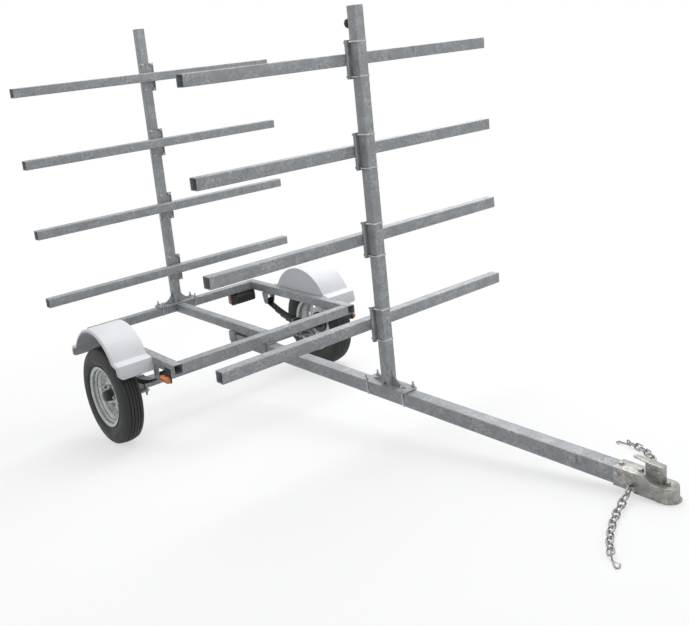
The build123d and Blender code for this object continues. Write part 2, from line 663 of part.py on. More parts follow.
rim_outer = [(HALF_RIM, RIM_RADIUS), (HALF_RIM - FLANGE_THICK, RIM_RADIUS), (SEAT_HALF, BEAD_RADIUS)]
dish_radius = RIM_RADIUS - FLANGE_DEEP
outer_dish = [
    (HALF_RIM, dish_radius),
    (SEAT_HALF, DISH_RADIUS),
    (DISC_FACE + DISH_RADIUS - DISH_FLOOR_RADIUS, DISH_RADIUS),
    (DISC_FACE, DISH_FLOOR_RADIUS),
]
inner_dish = [(-HALF_RIM, dish_radius), (-SEAT_HALF, DISH_RADIUS), (DISC_FACE - DISC_THICK, DISH_RADIUS)]
with BuildPart() as rim:
    add(turned(WHEEL_PLANE, mirrored_profile(rim_outer), WHEEL_SIDES, WHEEL_TURN))
    for dish in (outer_dish, inner_dish):
        add(turned(WHEEL_PLANE, dish, WHEEL_SIDES, WHEEL_TURN), mode=Mode.SUBTRACT)
    with BuildSketch(WHEEL_PLANE.offset(DISC_FACE - DISC_THICK)):
        RegularPolygon(HUB_RADIUS + HUB_HOLE_GAP, HUB_SIDES, major_radius=False)
        with PolarLocations(SLOT_PITCH_RADIUS, SLOT_COUNT):
            Rectangle(SLOT_LENGTH, SLOT_WIDTH)
    extrude(amount=DISC_THICK, mode=Mode.SUBTRACT)
    with BuildSketch(WHEEL_PLANE.offset(DISC_FACE)):
        with PolarLocations(STUD_PITCH_RADIUS, STUD_COUNT):
            RegularPolygon(STUD_NUT / 2, 6, major_radius=False)
    extrude(amount=STUD_NUT_THICK)
keep_pair(rim.part, "rim")

hub_profile = [(-HUB_BACK, HUB_RADIUS * HUB_BACK_SHARE)] + [(place, HUB_RADIUS * share) for place, share in HUB_CAP]
with BuildPart() as hub:
    add(turned(WHEEL_PLANE, hub_profile, HUB_SIDES))
    with BuildSketch(WHEEL_PLANE.offset(DISC_FACE - DISC_THICK - HUB_FLANGE_THICK)):
        RegularPolygon(HUB_FLANGE_RADIUS, HUB_SIDES, major_radius=False)
    extrude(amount=HUB_FLANGE_THICK)
    with BuildSketch(WHEEL_PLANE.offset(-HUB_BACK)):
        Circle(SPINDLE + RUNNING_GAP)
    extrude(amount=HUB_BACK + HUB_BORE_END, mode=Mode.SUBTRACT)
keep_pair(hub.part, "hub")

# Fenders: an arched shell with a flat inner wall on the rail, a bevelled outer edge that turns in
# as a lip, and a flared skirt under a ledge at each end
LEDGE_X = FENDER_RADIUS * cos(LEDGE_ANGLE)
LEDGE_Z = FENDER_CENTRE_Z + FENDER_RADIUS * sin(LEDGE_ANGLE)
FENDER_FOOT_Z = LEDGE_Z - LEDGE_FALL - SKIRT_DROP
FENDER_END_X = LEDGE_X + LEDGE_RUN + SKIRT_FLARE


def fender_form(inset, start, end, foot_z, bevel=0.0):
    """Make a solid of the fender's side outline, pulled in by an inset, between two distances from the rail."""
    radius = FENDER_RADIUS - inset
    step = inset * LEDGE_INSET_SHARE
    start_x = LEDGE_X - step
    start_z = FENDER_CENTRE_Z + sqrt(radius**2 - start_x**2)
    ledge_end = LEDGE_X + LEDGE_RUN - inset
    ledge_z = LEDGE_Z - LEDGE_FALL - step
    with BuildPart() as form:
        with BuildSketch(Plane.XZ.offset(-RAIL_OUTER_Y - start)):
            with BuildLine():
                ThreePointArc((-start_x, start_z), (0, FENDER_CENTRE_Z + radius), (start_x, start_z))
                Polyline(
                    (start_x, start_z), (ledge_end, ledge_z), (FENDER_END_X - inset, foot_z),
                    (inset - FENDER_END_X, foot_z), (-ledge_end, ledge_z), (-start_x, start_z),
                )
            make_face()
        extrude(amount=start - end)
        if bevel:
            outer_face = form.faces().sort_by(Axis.Y)[-1]
            chamfer(outer_face.edges().sort_by(Axis.Z)[1:], length=bevel)
    return form.part


FENDER_BELOW = FENDER_FOOT_Z - OVERRUN
INNER_BEVEL = FENDER_EDGE - FENDER_SKIN * ROUND_SHARE
with BuildPart() as fender:
    add(fender_form(0, 0, FENDER_WIDTH, FENDER_FOOT_Z, FENDER_EDGE))
    add(fender_form(FENDER_SKIN, FENDER_SKIN, FENDER_WIDTH - FENDER_SKIN, FENDER_BELOW, INNER_BEVEL), mode=Mode.SUBTRACT)
    add(fender_form(FENDER_LIP, FENDER_WIDTH / 2, FENDER_WIDTH + OVERRUN, FENDER_BELOW), mode=Mode.SUBTRACT)
    # The skirts' outer lower corners are round.
    with BuildSketch(Plane.YZ.offset(-FENDER_END_X)):
        with Locations((RAIL_OUTER_Y + FENDER_WIDTH, FENDER_FOOT_Z)):
            Rectangle(2 * FENDER_CORNER, 2 * FENDER_CORNER)
        with Locations((RAIL_OUTER_Y + FENDER_WIDTH - FENDER_CORNER, FENDER_FOOT_Z + FENDER_CORNER)):
            Circle(FENDER_CORNER, mode=Mode.SUBTRACT)
        with Locations((RAIL_OUTER_Y + FENDER_WIDTH, FENDER_FOOT_Z + 2 * FENDER_CORNER)):
            Rectangle(2 * FENDER_CORNER, 2 * FENDER_CORNER, mode=Mode.SUBTRACT)
    extrude(amount=2 * FENDER_END_X, mode=Mode.SUBTRACT)
keep_pair(fender.part, "fender")

# Tail lamps under the rear member: a black housing with a rim, and a red lens behind it
TAIL_LAMP_X = REAR_MEMBER_X
TAIL_LAMP_Y = RAIL_OUTER_Y - TAIL_LAMP_INSET - TAIL_LAMP_WIDTH / 2
TAIL_LAMP_TOP = FRAME_BOTTOM - TAIL_LAMP_GAP
TAIL_LAMP_Z = TAIL_LAMP_TOP - TAIL_LAMP_HEIGHT / 2
tail_plane = Plane((TAIL_LAMP_X, TAIL_LAMP_Y, TAIL_LAMP_Z), x_dir=(0, 1, 0), z_dir=(1, 0, 0))
body_width = TAIL_LAMP_WIDTH - 2 * TAIL_RIM_STEP
body_height = TAIL_LAMP_HEIGHT - 2 * TAIL_RIM_STEP
with BuildPart() as tail_housing:
    with BuildSketch(tail_plane):
        cut_rectangle(TAIL_LAMP_WIDTH, TAIL_LAMP_HEIGHT, TAIL_LAMP_CORNER * ROUND_SHARE)
    extrude(amount=TAIL_RIM_THICK)
    body_sections = [
        (depth, cut_corners(body_width - 2 * taper, body_height - taper, TAIL_LAMP_CORNER * ROUND_SHARE))
        for depth, taper in ((TAIL_RIM_THICK, 0), (TAIL_BODY_DEPTH, TAIL_BODY_TAPER))
    ]
    add(flat_faced(tail_plane, body_sections))
    with BuildSketch(Plane((TAIL_LAMP_X, TAIL_LAMP_Y, TAIL_LAMP_Z))):
        with Locations((TAIL_PAD_LENGTH / 2, 0)):
            Rectangle(TAIL_PAD_LENGTH, TAIL_PAD_WIDTH)
    extrude(amount=FRAME_BOTTOM - TAIL_LAMP_Z)
keep_pair(tail_housing.part, "tail_lamp_housing")

with BuildPart() as tail_lens:
    with BuildSketch(tail_plane):
        lens_width, lens_height = TAIL_LAMP_WIDTH - 2 * TAIL_LENS_STEP, TAIL_LAMP_HEIGHT - 2 * TAIL_LENS_STEP
        cut_rectangle(lens_width, lens_height, TAIL_LAMP_CORNER * ROUND_SHARE)
    extrude(amount=-TAIL_LENS_DEPTH)
    chamfer(tail_lens.faces().sort_by(Axis.X)[0].edges(), length=TAIL_LENS_BEVEL)
keep_pair(tail_lens.part, "tail_lamp_lens")

# Marker lamps: a black plate down from the rail with a base, and an amber lens that stands out
MARKER_X = FRONT_MEMBER_X - MARKER_BACK
MARKER_Z = FRAME_BOTTOM - MARKER_DROP
marker_plane = Plane((MARKER_X, RAIL_OUTER_Y, MARKER_Z), x_dir=(1, 0, 0), z_dir=(0, 1, 0))
with BuildPart() as marker_base:
    with BuildSketch(Plane((MARKER_X, RAIL_OUTER_Y, MARKER_Z - MARKER_HEIGHT / 2))):
        with Locations((0, MARKER_PLATE / 2)):
            Rectangle(MARKER_PLATE_LENGTH, MARKER_PLATE)
    extrude(amount=MARKER_HEIGHT / 2 + MARKER_PLATE_RISE)
    with BuildSketch(marker_plane.offset(MARKER_PLATE)):
        cut_rectangle(MARKER_LENGTH, MARKER_HEIGHT, MARKER_CORNER * ROUND_SHARE)
    extrude(amount=MARKER_BASE)
keep_pair(marker_base.part, "side_marker_base")

with BuildPart() as marker_lens:
    with BuildSketch(marker_plane.offset(MARKER_PLATE + MARKER_BASE)):
        lens_length, lens_height = MARKER_LENGTH - 2 * MARKER_LENS_STEP, MARKER_HEIGHT - 2 * MARKER_LENS_STEP
        cut_rectangle(lens_length, lens_height, MARKER_CORNER * ROUND_SHARE)
    extrude(amount=MARKER_LENS_DEPTH)
    chamfer(marker_lens.faces().sort_by(Axis.Y)[-1].edges(), length=MARKER_LENS_BEVEL)
keep_pair(marker_lens.part, "side_marker_lens")


# Coupler: its plan and its side outline cut one form, which is hollow over the tongue and the ball
def coupler_plan(inset, rear_x):
    """Make the coupler's outline from above, pulled in by an inset."""
    head = COUPLER_HEAD - inset
    half = COUPLER_HALF - inset
    flare_x = BALL_X - COUPLER_FLARE_BACK
    with BuildSketch() as plan:
        with BuildLine():
            Polyline((BALL_X, head), (flare_x, half), (rear_x, half), (rear_x, -half), (flare_x, -half), (BALL_X, -head))
            ThreePointArc((BALL_X, -head), (BALL_X + head, 0), (BALL_X, head))
        make_face()
    return plan.sketch


def coupler_form(inset, rear_x, bottom):
    """Make the coupler's solid form, pulled in by an inset, open to the rear and below as given."""
    top = COUPLER_TOP - inset
    head_top = HEAD_TOP - inset
    neck_x = BALL_X - COUPLER_NECK_BACK
    slope_middle = (neck_x + COUPLER_SLOPE_LENGTH / 2, (top + head_top) / 2)
    slope_end = (neck_x + COUPLER_SLOPE_LENGTH, head_top)
    round_x = NOSE_X - COUPLER_NOSE_ROUND
    round_z = HEAD_TOP - COUPLER_NOSE_ROUND
    diagonal = (COUPLER_NOSE_ROUND - inset) / sqrt(2)
    with BuildPart() as form:
        with BuildSketch(Plane.XY.offset(bottom)):
            add(coupler_plan(inset, rear_x))
        extrude(amount=COUPLER_TOP - bottom)
        with BuildSketch(Plane.XZ):
            with BuildLine():
                Polyline((NOSE_X - inset, round_z), (NOSE_X - inset, bottom), (rear_x, bottom), (rear_x, top), (neck_x, top))
                TangentArc((neck_x, top), slope_middle, tangent=(1, 0))
                TangentArc(slope_end, slope_middle, tangent=(-1, 0))
                Line(slope_end, (round_x, head_top))
                ThreePointArc(
                    (round_x, head_top), (round_x + diagonal, round_z + diagonal), (NOSE_X - inset, round_z)
                )
            make_face()
        extrude(amount=2 * COUPLER_HALF, both=True, mode=Mode.INTERSECT)
    return form.part


outer_form = coupler_form(0, COUPLER_REAR_X, COUPLER_BOTTOM)
with BuildPart() as coupler:
    add(outer_form)
    # Flange round the lower edge of the head and neck
    with BuildSketch(Plane.XY.offset(COUPLER_BOTTOM)):
        add(coupler_plan(-COUPLER_RIM, BALL_X - COUPLER_RIM_BACK))
    extrude(amount=COUPLER_RIM_THICK)
    add(
        coupler_form(COUPLER_WALL, COUPLER_REAR_X - OVERRUN, COUPLER_BOTTOM - OVERRUN),
        mode=Mode.SUBTRACT,
    )
    # Bolts down into the tongue and through its sides
    with BuildSketch(Plane.XY.offset(COUPLER_TOP)):
        with Locations(*((COUPLER_REAR_X + ahead, 0) for ahead in TOP_BOLTS)):
            RegularPolygon(BOLT_HEAD / 2, 6, major_radius=False)
    extrude(amount=BOLT_HEAD_THICK)
    for sign in (1, -1):
        with BuildSketch(Plane.XZ.offset(sign * COUPLER_HALF)):
            with Locations((COUPLER_REAR_X + SIDE_BOLT_IN, TONGUE_TOP - SIDE_BOLT_DROP)):
                RegularPolygon(BOLT_HEAD / 2, 6, major_radius=False)
        extrude(amount=sign * BOLT_HEAD_THICK)
keep(coupler.part, "coupler")

# Latch: a folded channel that stands on the neck, with a long lift lever on it and a nut ahead of it
LATCH_FRONT_X = BALL_X - LATCH_BACK
LATCH_REAR_X = LATCH_FRONT_X - LATCH_LENGTH
LEVER_Z = COUPLER_TOP + LATCH_RISE
LEVER_SLOPE = LEVER_RISE / LEVER_LENGTH
with BuildPart() as latch:
    for setback, half, mode in ((0, LATCH_HALF, Mode.ADD), (LATCH_WALL, LATCH_HALF - LATCH_WALL, Mode.SUBTRACT)):
        front_x = LATCH_FRONT_X - setback
        rear_x = LATCH_REAR_X - setback
        with BuildSketch(Plane.XZ):
            with BuildLine():
                Polyline(
                    (rear_x, HEAD_TOP), (front_x, HEAD_TOP), (front_x, LEVER_Z + LEVER_SLOPE * setback),
                    (rear_x, LEVER_Z + LEVER_SLOPE * (LATCH_LENGTH + setback)), close=True,
                )
            make_face()
        extrude(amount=half, both=True, mode=mode)
    lever_plane = Plane((LATCH_FRONT_X, 0, LEVER_Z), x_dir=(-1, 0, LEVER_SLOPE), z_dir=(LEVER_SLOPE, 0, 1))
    with BuildSketch(lever_plane):
        with BuildLine():
            Polyline(
                (0, LEVER_WIDTH / 2), (LATCH_LENGTH, LEVER_WIDTH / 2),
                (LEVER_LENGTH - LEVER_CUT, LEVER_END_WIDTH / 2), (LEVER_LENGTH, LEVER_END_WIDTH / 2 - LEVER_CUT),
                (LEVER_LENGTH, LEVER_CUT - LEVER_END_WIDTH / 2), (LEVER_LENGTH - LEVER_CUT, -LEVER_END_WIDTH / 2),
                (LATCH_LENGTH, -LEVER_WIDTH / 2), (0, -LEVER_WIDTH / 2), close=True,
            )
        make_face()
    extrude(amount=LEVER_THICK)
    with BuildSketch(Plane.XY.offset(HEAD_TOP)):
        with Locations((LATCH_FRONT_X + HEAD_NUT_AHEAD, 0)):
            RegularPolygon(NUT_ACROSS / 2, 6, major_radius=False)
    extrude(amount=HEAD_NUT_THICK)
    add(outer_form, mode=Mode.SUBTRACT)
keep(latch.part, "coupler_latch")

# Round knob near the front post's top
KNOB_Z = TONGUE_TOP + FOOT_THICK + POST_LENGTH - KNOB_DROP
with BuildPart() as knob:
    add(turned(Plane((FRONT_POST_X - TUBE / 2, 0, KNOB_Z), z_dir=(-1, 0, 0)), KNOB_PROFILE, KNOB_SIDES))
keep(knob.part, "post_knob")

# Chain eyes: a rod staple on each side of the coupler
with BuildPart() as chain_eyes:
    reach = CHAIN_EYE_OUT + EYE_ROD / 2
    for sign in (1, -1):
        with BuildSketch(Plane.XY.offset(CHAIN_EYE_Z - EYE_ROD / 2)):
            with Locations((CHAIN_EYE_X, sign * COUPLER_HALF)):
                cut_rectangle(CHAIN_EYE_LONG + EYE_ROD, 2 * reach, CHAIN_EYE_CUT)
                Rectangle(CHAIN_EYE_LONG - EYE_ROD, 2 * (reach - EYE_ROD), mode=Mode.SUBTRACT)
            with Locations((CHAIN_EYE_X, sign * (COUPLER_HALF - reach))):
                Rectangle(CHAIN_EYE_LONG + EYE_ROD, 2 * reach, mode=Mode.SUBTRACT)
        extrude(amount=EYE_ROD)
keep(chain_eyes.part, "chain_eyes")

# The parked pose: tip about the axle, lift by the tyre's radius
parking = Location((0, 0, TYRE_RADIUS)) * Rotation(0, degrees(PARK_ANGLE), 0)
parked_pieces = {piece.label: piece.moved(parking) for piece in pieces}


def park_point(x, y, z):
    """Take a point of the level trailer to the parked pose."""
    return Vector(
        x * cos(PARK_ANGLE) + z * sin(PARK_ANGLE), y, TYRE_RADIUS - x * sin(PARK_ANGLE) + z * cos(PARK_ANGLE)
    )


# Chain links: eight-sided rings with bevelled outer edges, rolled one way and the other in turn
with BuildPart() as link:
    with BuildSketch():
        cut_rectangle(LINK_LENGTH, LINK_WIDTH, LINK_WIRE)
    extrude(amount=LINK_WIRE / 2, both=True)
    chamfer(link.faces().filter_by(Axis.Z).edges(), length=LINK_BEVEL)
    with BuildSketch():
        cut_rectangle(LINK_LENGTH - 2 * LINK_WIRE, LINK_WIDTH - 2 * LINK_WIRE, LINK_HOLE_CUT)
    extrude(amount=LINK_WIRE / 2, both=True, mode=Mode.SUBTRACT)

# Hook: an upright eye and a flat J
with BuildPart() as hook:
    with BuildSketch(Plane.XZ):
        with Locations((0, HOOK_EYE)):
            RegularPolygon(HOOK_EYE, 8, major_radius=False, rotation=180 / 8)
            RegularPolygon(HOOK_EYE - HOOK_EYE_WIRE, 8, major_radius=False, rotation=180 / 8, mode=Mode.SUBTRACT)
    extrude(amount=LINK_WIRE / 2, both=True)
    with BuildSketch():
        with BuildLine():
            Polyline(
                (HOOK_EYE - HOOK_SINK, 0), (HOOK_LENGTH, 0), (HOOK_LENGTH + HOOK_REACH, HOOK_TURN),
                (HOOK_LENGTH + HOOK_REACH, HOOK_WIDTH - HOOK_TURN), (HOOK_LENGTH, HOOK_WIDTH),
                (HOOK_LENGTH - HOOK_BACK, HOOK_WIDTH),
            )
        trace(line_width=LINK_WIRE)
    extrude(amount=LINK_WIRE)

# Each chain falls from its staple in ever flatter steps and lies along the floor to its hook.
LINK_INNER = LINK_LENGTH / 2 - LINK_WIRE
for side, sign, start_turn, end_turn in CHAIN_ROUTES:
    at = park_point(CHAIN_EYE_X, sign * (COUPLER_HALF + CHAIN_EYE_OUT), CHAIN_EYE_Z)
    with BuildPart() as chain:
        for number in range(LINK_COUNT):
            first = number == 0
            turn = radians(start_turn + (end_turn - start_turn) * number / (LINK_COUNT - 1))
            start_gap = EYE_ROD if first else LINK_INNER - LINK_PITCH / 2
            step = LINK_PITCH / 2 + LINK_INNER - start_gap if first else LINK_PITCH
            drop = (LINK_REST - at.Z) * DESCENT_SHARE
            level_step = sqrt(step**2 - drop**2)
            stride = Vector(cos(turn) * level_step, sin(turn) * level_step, drop)
            along = stride.normalized()
            middle = at + along * (LINK_INNER - start_gap)
            across = Vector(-along.Y, along.X, 0).normalized()
            roll = 90 if first else ODD_ROLL if number % 2 else EVEN_ROLL
            normal = along.cross(across).rotate(Axis((0, 0, 0), along), roll)
            with Locations(Plane(middle, x_dir=along, z_dir=normal)):
                add(link.part)
            at = at + stride
        level_along = Vector(along.X, along.Y, 0).normalized()
        hook_at = Vector(at.X, at.Y, FLOOR_GAP) + level_along * HOOK_GAP
        with Locations(Plane(hook_at, x_dir=level_along, z_dir=(0, 0, 1))):
            add(hook.part)
    parked_pieces[f"safety_chain_{side}"] = chain.part

# The origin is on the floor, midway between the rearmost and the foremost point
boxes = [piece.bounding_box() for piece in parked_pieces.values()]
REARMOST = min(box.min.X for box in boxes)
FOREMOST = max(box.max.X for box in boxes)
MIDDLE_X = (REARMOST + FOREMOST) / 2
for label, piece in parked_pieces.items():
    placed = piece.moved(Location((-MIDDLE_X, 0, 0)))
    placed.label = label
    export_step(placed, f"parts/{label}.step")
print("park angle", degrees(PARK_ANGLE), "middle", MIDDLE_X, "length", FOREMOST - REARMOST)
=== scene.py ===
import json
import math

import bmesh
import bpy
from mathutils import Matrix, Vector


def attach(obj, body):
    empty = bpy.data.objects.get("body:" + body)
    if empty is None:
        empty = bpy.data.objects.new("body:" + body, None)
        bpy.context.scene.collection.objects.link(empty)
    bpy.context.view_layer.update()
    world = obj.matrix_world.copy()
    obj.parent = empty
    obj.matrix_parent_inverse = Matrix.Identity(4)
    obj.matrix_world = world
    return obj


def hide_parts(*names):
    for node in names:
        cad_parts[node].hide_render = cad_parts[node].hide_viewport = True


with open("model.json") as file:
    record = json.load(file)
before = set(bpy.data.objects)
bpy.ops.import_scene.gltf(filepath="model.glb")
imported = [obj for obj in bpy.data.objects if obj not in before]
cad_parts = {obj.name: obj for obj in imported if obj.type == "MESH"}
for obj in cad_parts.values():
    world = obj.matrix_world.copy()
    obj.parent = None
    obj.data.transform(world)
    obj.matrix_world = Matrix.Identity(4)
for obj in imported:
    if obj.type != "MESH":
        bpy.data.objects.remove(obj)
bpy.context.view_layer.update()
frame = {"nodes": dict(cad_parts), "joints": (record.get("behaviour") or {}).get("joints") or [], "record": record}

# The trailer is described level, in millimetres, with the axle's centre as its origin.
# PARK tips it about the axle to where it stands, and turns it to metres.
MM = 0.001
joints = {joint["name"]: joint for joint in frame["joints"]}
mounts = {mount["name"]: mount for mount in frame["record"]["mounts"]}
up_axis = mounts["front_arm_1_top"]["axis"]
TILT = math.atan2(up_axis[0], up_axis[2])
AXLE = Vector(joints["wheel_left_spin"]["pos_m"])
AXLE.y = 0
PARK = Matrix.Translation(AXLE) @ Matrix.Rotation(TILT, 4, "Y") @ Matrix.Scale(MM, 4)
SIDES = {"left": 1, "right": -1}
CHASSIS = "chassis"


# Materials, each made of a few noises over the object's own coordinates
MIX_COLORS = (6, 7)  # places of the colour sockets on a mix node
MIX_RESULT = 2
MID_GREY = (0.5, 0.5, 0.5)


def new_material(name, rough, metal=0.0, color=MID_GREY, coat=0.0):
    """Make a material and return its node tree and its shader."""
    material = bpy.data.materials.new(name)
    material.use_nodes = True
    shader = material.node_tree.nodes["Principled BSDF"]
    shader.inputs["Roughness"].default_value = rough
    shader.inputs["Metallic"].default_value = metal
    shader.inputs["Base Color"].default_value = (*color, 1)
    shader.inputs["Coat Weight"].default_value = coat
    return material, material.node_tree, shader


def link(tree, source, target):
    """Join an output socket to an input socket."""
    tree.links.new(source, target)


def object_point(tree):
    """Coordinates of the surface point in the object's own space, in metres."""
    return tree.nodes.new("ShaderNodeTexCoord").outputs["Object"]


def stretched(tree, point, scales):
    """The same coordinates with each axis scaled by itself."""
    node = tree.nodes.new("ShaderNodeMapping")
    node.inputs["Scale"].default_value = scales
    link(tree, point, node.inputs["Vector"])
    return node.outputs["Vector"]


def noise(tree, point, scale, detail, rough=0.55):
    """A noise between 0 and 1, mostly near the middle."""
    node = tree.nodes.new("ShaderNodeTexNoise")
    node.inputs["Scale"].default_value = scale
    node.inputs["Detail"].default_value = detail
    node.inputs["Roughness"].default_value = rough
    link(tree, point, node.inputs["Vector"])
    return node.outputs["Fac"]


def ramp(tree, value, stops):
    """A colour ramp from (position, colour) stops; a grey may be one number."""
    node = tree.nodes.new("ShaderNodeValToRGB")
    elements = node.color_ramp.elements
    while len(elements) < len(stops):
        elements.new(0.5)
    for element, (position, color) in zip(elements, stops):
        element.position = position
        rgb = color if isinstance(color, tuple) else (color, color, color)
        element.color = (*rgb, 1)
    link(tree, value, node.inputs["Fac"])
    return node.outputs["Color"]


def mix(tree, factor, one, two):
    """Mix two colours; a factor is a number or a socket."""
    node = tree.nodes.new("ShaderNodeMix")
    node.data_type = "RGBA"
    if isinstance(factor, (int, float)):
        node.inputs["Factor"].default_value = factor
    else:
        link(tree, factor, node.inputs["Factor"])
    for place, value in zip(MIX_COLORS, (one, two)):
        if isinstance(value, tuple):
            node.inputs[place].default_value = (*value, 1)
        else:
            link(tree, value, node.inputs[place])
    return node.outputs[MIX_RESULT]


def bump(tree, shader, height, strength, distance):
    """Give a shader a fine relief, its distance in metres."""
    node = tree.nodes.new("ShaderNodeBump")
    node.inputs["Strength"].default_value = strength
    node.inputs["Distance"].default_value = distance
    link(tree, height, node.inputs["Height"])
    link(tree, node.outputs["Normal"], shader.inputs["Normal"])


def crystals(tree, point, scale):
    """Random grey of each zinc crystal."""
    cells = tree.nodes.new("ShaderNodeTexVoronoi")
    cells.inputs["Scale"].default_value = scale
    cells.inputs["Randomness"].default_value = 1.0
    link(tree, point, cells.inputs["Vector"])
    split = tree.nodes.new("ShaderNodeSeparateColor")
    link(tree, cells.outputs["Color"], split.inputs["Color"])
    return split.outputs["Red"]


def galvanised(name, dark, light, crystal_scale, rough=(0.36, 0.55), metal=0.3):
    """Hot-dip zinc: crystals of slightly different grey under dull patches, pale runs and dark stains."""
    material, tree, shader = new_material(name, rough[0], metal)
    point = object_point(tree)
    grain = crystals(tree, point, crystal_scale)
    patches = noise(tree, point, scale=14.0, detail=5.0, rough=0.62)
    stains = noise(tree, stretched(tree, point, (1.0, 1.0, 0.35)), scale=46.0, detail=4.0, rough=0.6)
    fine = noise(tree, point, scale=420.0, detail=2.0)
    dull = tuple(0.45 * low + 0.42 * high for low, high in zip(dark, light))
    pale = tuple(1.22 * channel for channel in light)
    deep = tuple(0.62 * channel for channel in dark)
    dull_cover = ramp(tree, patches, ((0.42, 0.0), (0.60, 0.85)))
    pale_cover = ramp(tree, patches, ((0.24, 0.55), (0.36, 0.0)))
    deep_cover = ramp(tree, stains, ((0.60, 0.0), (0.76, 0.75)))
    color = ramp(tree, grain, ((0.0, dark), (1.0, light)))
    for cover, over in ((dull_cover, dull), (pale_cover, pale), (deep_cover, deep)):
        color = mix(tree, cover, color, over)
    link(tree, color, shader.inputs["Base Color"])
    gloss = ramp(tree, grain, ((0.0, rough[0]), (1.0, rough[1])))
    link(tree, mix(tree, dull_cover, gloss, (rough[1],) * 3), shader.inputs["Roughness"])
    bump(tree, shader, mix(tree, 0.5, patches, fine), strength=0.22, distance=0.0008)
    return material


def zinc_plated(name, dark, light, rough, metal=0.75, cast=None):
    """Plated zinc, clouded, with a cast of another colour here and there."""
    material, tree, shader = new_material(name, rough[0], metal)
    point = object_point(tree)
    cloud = noise(tree, point, scale=60.0, detail=4.0, rough=0.6)
    color = ramp(tree, cloud, ((0.30, dark), (0.68, light)))
    if cast:
        bands = noise(tree, stretched(tree, point, (1.0, 1.0, 2.2)), scale=24.0, detail=3.0, rough=0.5)
        color = mix(tree, ramp(tree, bands, ((0.42, 0.0), (0.66, 0.6))), color, cast)
    link(tree, color, shader.inputs["Base Color"])
    link(tree, ramp(tree, cloud, ((0.3, rough[1]), (0.7, rough[0]))), shader.inputs["Roughness"])
    bump(tree, shader, noise(tree, point, scale=500.0, detail=2.0), strength=0.10, distance=0.0003)
    return material


def rubber(name):
    """Black tyre rubber, dusted lighter in patches."""
    material, tree, shader = new_material(name, rough=0.62)
    point = object_point(tree)
    dust = noise(tree, point, scale=22.0, detail=5.0, rough=0.65)
    color = ramp(tree, dust, ((0.3, (0.014, 0.015, 0.016)), (0.75, (0.040, 0.040, 0.041))))
    link(tree, color, shader.inputs["Base Color"])
    link(tree, ramp(tree, dust, ((0.3, 0.48), (0.7, 0.72))), shader.inputs["Roughness"])
    bump(tree, shader, noise(tree, point, scale=900.0, detail=3.0), strength=0.15, distance=0.0004)
    return material


def painted_black(name, color=(0.018, 0.018, 0.020), rough=(0.30, 0.5)):
    """Black paint over steel, with a slight orange peel and dusty patches."""
    material, tree, shader = new_material(name, rough[0], coat=0.15)
    point = object_point(tree)
    patch = noise(tree, point, scale=30.0, detail=5.0, rough=0.6)
    lighter = tuple(channel * 2.4 for channel in color)
    link(tree, ramp(tree, patch, ((0.35, color), (0.8, lighter))), shader.inputs["Base Color"])
    link(tree, ramp(tree, patch, ((0.3, rough[0]), (0.7, rough[1]))), shader.inputs["Roughness"])
    bump(tree, shader, noise(tree, point, scale=350.0, detail=2.0), strength=0.1, distance=0.0004)
    return material


def moulded(name, color, rough, grain_scale=700.0, grain=0.05):
    """Moulded plastic with a fine surface grain, a little unevenness in tone and faint dust."""
    material, tree, shader = new_material(name, rough, color=color)
    point = object_point(tree)
    tone = noise(tree, point, scale=6.0, detail=3.0)
    dust = noise(tree, point, scale=75.0, detail=6.0, rough=0.7)
    shade = tuple(channel * 0.93 for channel in color)
    dusty = tuple(channel * 0.86 for channel in color)
    base = ramp(tree, tone, ((0.35, shade), (0.65, color)))
    dust_cover = ramp(tree, dust, ((0.56, 0.0), (0.74, 0.6)))
    link(tree, mix(tree, dust_cover, base, dusty), shader.inputs["Base Color"])
    link(tree, ramp(tree, dust, ((0.4, rough), (0.75, rough + 0.18))), shader.inputs["Roughness"])
    bump(tree, shader, noise(tree, point, grain_scale, detail=2.0), strength=grain, distance=0.0004)
    return material


def lens(name, color, deep):
    """Ribbed lamp lens: coloured plastic, bright where thin and deep in the ribs."""
    material, tree, shader = new_material(name, rough=0.12, color=color, coat=0.6)
    waves = tree.nodes.new("ShaderNodeTexWave")
    waves.bands_direction = "Z"
    waves.inputs["Scale"].default_value = 60.0
    waves.inputs["Distortion"].default_value = 0.0
    link(tree, object_point(tree), waves.inputs["Vector"])
    link(tree, ramp(tree, waves.outputs["Fac"], ((0.0, deep), (0.8, color))), shader.inputs["Base Color"])
    bump(tree, shader, waves.outputs["Fac"], strength=0.35, distance=0.001)
    shader.inputs["Subsurface Weight"].default_value = 0.25
    shader.inputs["Subsurface Radius"].default_value = (0.01, 0.004, 0.002)
    return material


